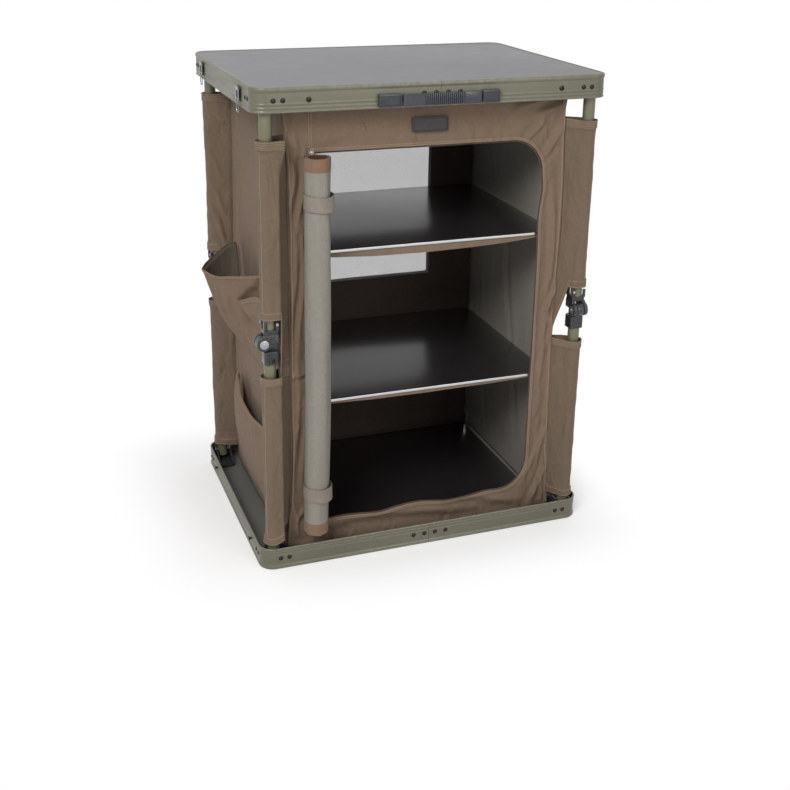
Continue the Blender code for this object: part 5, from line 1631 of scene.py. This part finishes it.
for v in (0.0014, POCKET_HEM - 0.0014):
    sew(bm, large_pocket, steps_between((0.002, v), (LARGE_BACK_WIDTH - 0.003, v), 0.003))
    sew(bm, large_pocket, steps_between((LARGE_BACK_WIDTH + 0.003, v), (total - 0.002, v), 0.003))
    sew(bm, small_pocket, steps_between((0.002, v), (SMALL_WIDTH - 0.002, v), 0.003))
sew(bm, small_pocket, steps_between((0.0022, 0.004), (0.0022, SMALL_HEIGHT - 0.002), 0.003))
u = LARGE_BACK_WIDTH + 0.0022
sew(bm, large_pocket, steps_between((u, 0.004), (u, LARGE_HEIGHT - 0.01), 0.003))
large_stitches = piece("large_pocket_stitches", bm, [brown_thread], "base")
folds_down(front_stitches, back_stitches, low_stitches)
folds_down(sleeve_stitches, keep=SLEEVE_KEEP)
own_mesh(large_stitches)

# The door's zip. Rust-brown tape sewn behind the hem of the opening, a row of fine moulded teeth along
# its free edge, and a cast slider with a pull, parked at the head of the rolled door.
TAPE_IN, TAPE_IN_ABOVE, TAPE_OUT = 0.0008, 0.0026, 0.0094
TAPE_SIZE, TAPE_CLOTH = (0.0104, 2.06), 0.0005
TOOTH_PITCH, TOOTH_STRETCH = 0.0017, (0.8, 2.0, 1.7, 1)
tape_pairs = []
for inner, outer in door_pairs:
    way = (outer - inner).normalized()
    shown = TAPE_IN + (TAPE_IN_ABOVE - TAPE_IN) * max(way.y, 0.0)
    tape_pairs.append((inner - way * shown, inner + way * TAPE_OUT))


def tape_on_front(u, v, _):
    """Where the tape's cut comes, a little behind the front panel at any width."""
    spot = panel_on_front(u, v, 0.02)
    return Vector((spot.x, spot.y + 0.0019, spot.z))


bm, flat = ringed(tape_pairs, (0.0, 0.0025), 3, tape_on_front)
zip_tape = cloth("zip_tape", bm, flat, [rust_cloth, rust_cloth], "base", (), always(0, -1, 0), TAPE_CLOTH)
dark_plastic = moulded("dark_plastic", srgb(58, 44, 38), 0.45, 900.0, 0.00004)
bm = bmesh.new()
carried = 0.0
for (here, out), (beyond, _) in zip(tape_pairs, tape_pairs[1:] + tape_pairs[:1]):
    way, across = beyond - here, (out - here).normalized()
    turn = to_axes((across.x, 0, across.y), (0, 1, 0), (-across.y, 0, across.x))
    spot = carried
    while spot < way.length:
        at = here + way.normalized() * spot + across * 0.0006
        if at.x > DOOR[0] + 0.004:
            middle = tape_on_front(at.x, at.y, 0.0) - Vector((0, 0.0002, 0))
            stamp(bm, stitch, Matrix.Translation(middle) @ turn @ Matrix.Diagonal(TOOTH_STRETCH))
        spot += TOOTH_PITCH
    carried = spot - way.length
zip_teeth = piece("zip_teeth", bm, [dark_plastic], "base")
folds_down(zip_tape, zip_teeth)
slider_metal = bright_steel("slider_metal", srgb(188, 184, 174), 0.30)
bm = bmesh.new()
for y in (-0.1922, -0.1896):
    block(bm, (-0.2042, y, 0.7088), (-0.1958, y + 0.0010, 0.7184), 0.0004)
block(bm, (-0.2012, -0.1920, 0.7150), (-0.1988, -0.1890, 0.7180), 0.0004)
wire(bm, [(-0.2000, y, z) for y, z in (
    (-0.1920, 0.7170), (-0.1932, 0.7168), (-0.1936, 0.7150), (-0.1934, 0.7120), (-0.1922, 0.7110),
)], 0.0006)
wire(bm, [(x - 0.2000, -0.1938, z) for x, z in (
    (0.0, 0.7146), (0.0016, 0.7150), (0.0026, 0.7175), (0.0026, 0.7215), (0.0014, 0.7228),
    (-0.0014, 0.7228), (-0.0026, 0.7215), (-0.0026, 0.7175), (-0.0016, 0.7150), (-0.0003, 0.7146),
)], 0.0007)
bmesh.ops.translate(bm, vec=(0.0, -0.0012, -0.0090), verts=bm.verts)
piece("slider_casting", bm, [slider_metal], "front_trim", ["zip_slider"])

# The badge. A plate of dark rubber sewn on above the door, moulded with a raised rim and a fine raised
# line round a bare sunk field.
BADGE_CENTRE = (-0.0020, 0.7415)
BADGE_HALF = (0.0306, 0.0117)
BADGE_BACK = -0.1892
BADGE_STEPS = (
    (0.0009, 0.0), (0.0003, -0.0010), (0.0005, 0.0), (0.0002, 0.0005), (0.0004, 0.0), (0.0002, -0.0005),
)
rubber = moulded("rubber", srgb(41, 38, 38), 0.52, 1200.0, 0.00005, 0.4)
bm = slab((-BADGE_HALF[0], -BADGE_HALF[1], 0.0), (*BADGE_HALF, 0.0022), 0.0036, 0.0005)
bm.normal_update()
front = max(bm.faces, key=lambda face: face.normal.z * face.calc_area())
for thickness, depth in BADGE_STEPS:
    bmesh.ops.inset_region(bm, faces=[front], thickness=thickness, depth=depth)
badge_place = Matrix.Translation((BADGE_CENTRE[0], BADGE_BACK, BADGE_CENTRE[1]))
badge_place = badge_place @ Matrix.Rotation(math.pi / 2, 4, "X")
bmesh.ops.transform(bm, matrix=badge_place, verts=bm.verts)
piece("badge_plate", bm, [rubber], "front_trim", ["badge"])

# The window's net. An open knitted mesh of grey yarn, with square holes set cornerwise, sewn behind the
# window's hem.
NET_PITCH, NET_STRAND = 0.0022, 0.00054
NET_MARGIN, NET_SETBACK, NET_COVER = 0.004, 0.0016, 0.74


def knit(name, colour):
    """Knitted yarn: fuzzy, uneven in tone, with a fine twist."""
    made, tree, shader, place = new_finish(name, 0.80, specular=0.2)
    fuzz = between(tree, speckle(tree, place, 800.0, 0.0, 1.0), colour, shade(colour, 1.5, 0.01))
    tree.links.new(fuzz, shader.inputs["Base Color"])
    relief(tree, shader, speckle(tree, place, 2200.0, 0.0, 1.0, 2.0), 0.0001)
    return made


net_yarn = knit("net_yarn", srgb(130, 130, 138))
bm = bmesh.new()
low_x, low_z = WINDOW[0] - NET_MARGIN, WINDOW[1] - NET_MARGIN
high_x, high_z = WINDOW[2] + NET_MARGIN, WINDOW[3] + NET_MARGIN
size = (high_x - low_x + high_z - low_z) / math.sqrt(2)
count = round(size / NET_PITCH)
turned_place = Matrix.Translation((0, 0, (low_z + high_z) / 2)) @ Matrix.Rotation(math.pi / 2, 4, "X")
turned_place = turned_place @ Matrix.Rotation(math.pi / 4, 4, "Z") @ Matrix.Scale(size, 4)
bmesh.ops.create_grid(bm, x_segments=count, y_segments=count, size=0.5, matrix=turned_place)
for spot, way in (
    ((low_x, 0, 0), (-1, 0, 0)), ((high_x, 0, 0), (1, 0, 0)),
    ((0, 0, low_z), (0, 0, -1)), ((0, 0, high_z), (0, 0, 1)),
):
    everything = bm.verts[:] + bm.edges[:] + bm.faces[:]
    bmesh.ops.bisect_plane(bm, geom=everything, plane_co=spot, plane_no=way, clear_outer=True)
cells = [face for face in bm.faces if face.calc_area() > (NET_PITCH * 0.6) ** 2]
bmesh.ops.inset_individual(bm, faces=cells, thickness=NET_STRAND)
bmesh.ops.delete(bm, geom=cells, context="FACES")
for vert in bm.verts:
    vert.co.y = on_back(vert.co.x, vert.co.z).y - NET_SETBACK
net = piece("window_mesh", bm, [net_yarn], "base", ["window_net"], recalculated=False)
folds_down(net)

# The stage. A plain pale floor that keeps the shadow near the cupboard and is lost in the white further
# off, a broad soft light high on the left in front, a weak one in front on the right, and one above.
def seen_in_picture(tree):
    """1 for a ray that the camera sees, straight, through something or mirrored, and 0 for other light."""
    path = node(tree, "LightPath")
    seen = sums(tree, path.outputs["Is Camera Ray"], path.outputs["Is Transmission Ray"])
    return sums(tree, seen, path.outputs["Is Glossy Ray"])


def soft_light(name, place, size, power):
    """A rectangle of light, turned to the cupboard at half its height."""
    made = bpy.data.lights.new(name, "AREA")
    made.shape = "RECTANGLE"
    made.size, made.size_y = size
    made.energy = power
    lamp = bpy.data.objects.new(name, made)
    lamp.matrix_world = facing_out(place, Vector(place) - Vector((0, 0, 0.4)))
    bpy.context.collection.objects.link(lamp)


floor_paper, tree, shader, place = new_finish("floor_paper", 0.9, specular=0.1)
tree.links.new(
    between(tree, speckle(tree, place, 3.0, 0.0, 1.0), (0.90, 0.90, 0.90, 1), (0.92, 0.92, 0.92, 1)),
    shader.inputs["Base Color"],
)
beyond = place
for operation, other in (
    ("ADD", (0.05, 0.0, 0.0)), ("ABSOLUTE", (0.0, 0.0, 0.0)),
    ("SUBTRACT", (WIDTH / 2, DEPTH / 2, 0.0)), ("MAXIMUM", (0.0, 0.0, 0.0)),
):
    beyond = node(tree, "VectorMath", {0: beyond, 1: other}, operation=operation).outputs["Vector"]
distance = node(tree, "VectorMath", {0: beyond}, operation="LENGTH")
far_off = node(tree, "MapRange", {
    "Value": distance.outputs["Value"], "From Min": 0.0, "From Max": 0.18, "To Min": 0.16, "To Max": 1.0,
}, interpolation_type="SMOOTHSTEP")
share = sums(tree, far_off.outputs["Result"], seen_in_picture(tree), "MULTIPLY")
white = node(tree, "Emission", {"Color": (1, 1, 1, 1), "Strength": 1.0})
lost = node(tree, "MixShader", {0: share, 1: shader.outputs["BSDF"], 2: white.outputs["Emission"]})
tree.links.new(lost.outputs["Shader"], tree.nodes["Material Output"].inputs["Surface"])
bm = bmesh.new()
bmesh.ops.create_grid(bm, x_segments=1, y_segments=1, size=8.0)
floor = bpy.data.objects.new("floor", as_mesh(bm, "floor"))
floor.data.materials.append(floor_paper)
bpy.context.collection.objects.link(floor)

soft_light("left_light", (-1.9, -2.2, 2.5), (1.3, 1.3), 95.0)
soft_light("right_light", (0.9, -3.0, 1.4), (1.5, 1.2), 20.0)
soft_light("top_light", (0.0, 0.3, 2.8), (1.6, 1.6), 14.0)
world = bpy.data.worlds.new("studio")
bpy.context.scene.world = world
world.use_nodes = True
tree = world.node_tree
tree.nodes.clear()
strength = node(tree, "MapRange", {
    "Value": seen_in_picture(tree), "From Min": 0.0, "From Max": 1.0, "To Min": 0.45, "To Max": 1.0,
})
backdrop = node(tree, "Background", {"Color": (1, 1, 1, 1), "Strength": strength.outputs["Result"]})
node(tree, "OutputWorld", {"Surface": backdrop.outputs["Background"]})
bpy.context.scene.view_settings.view_transform = "Standard"
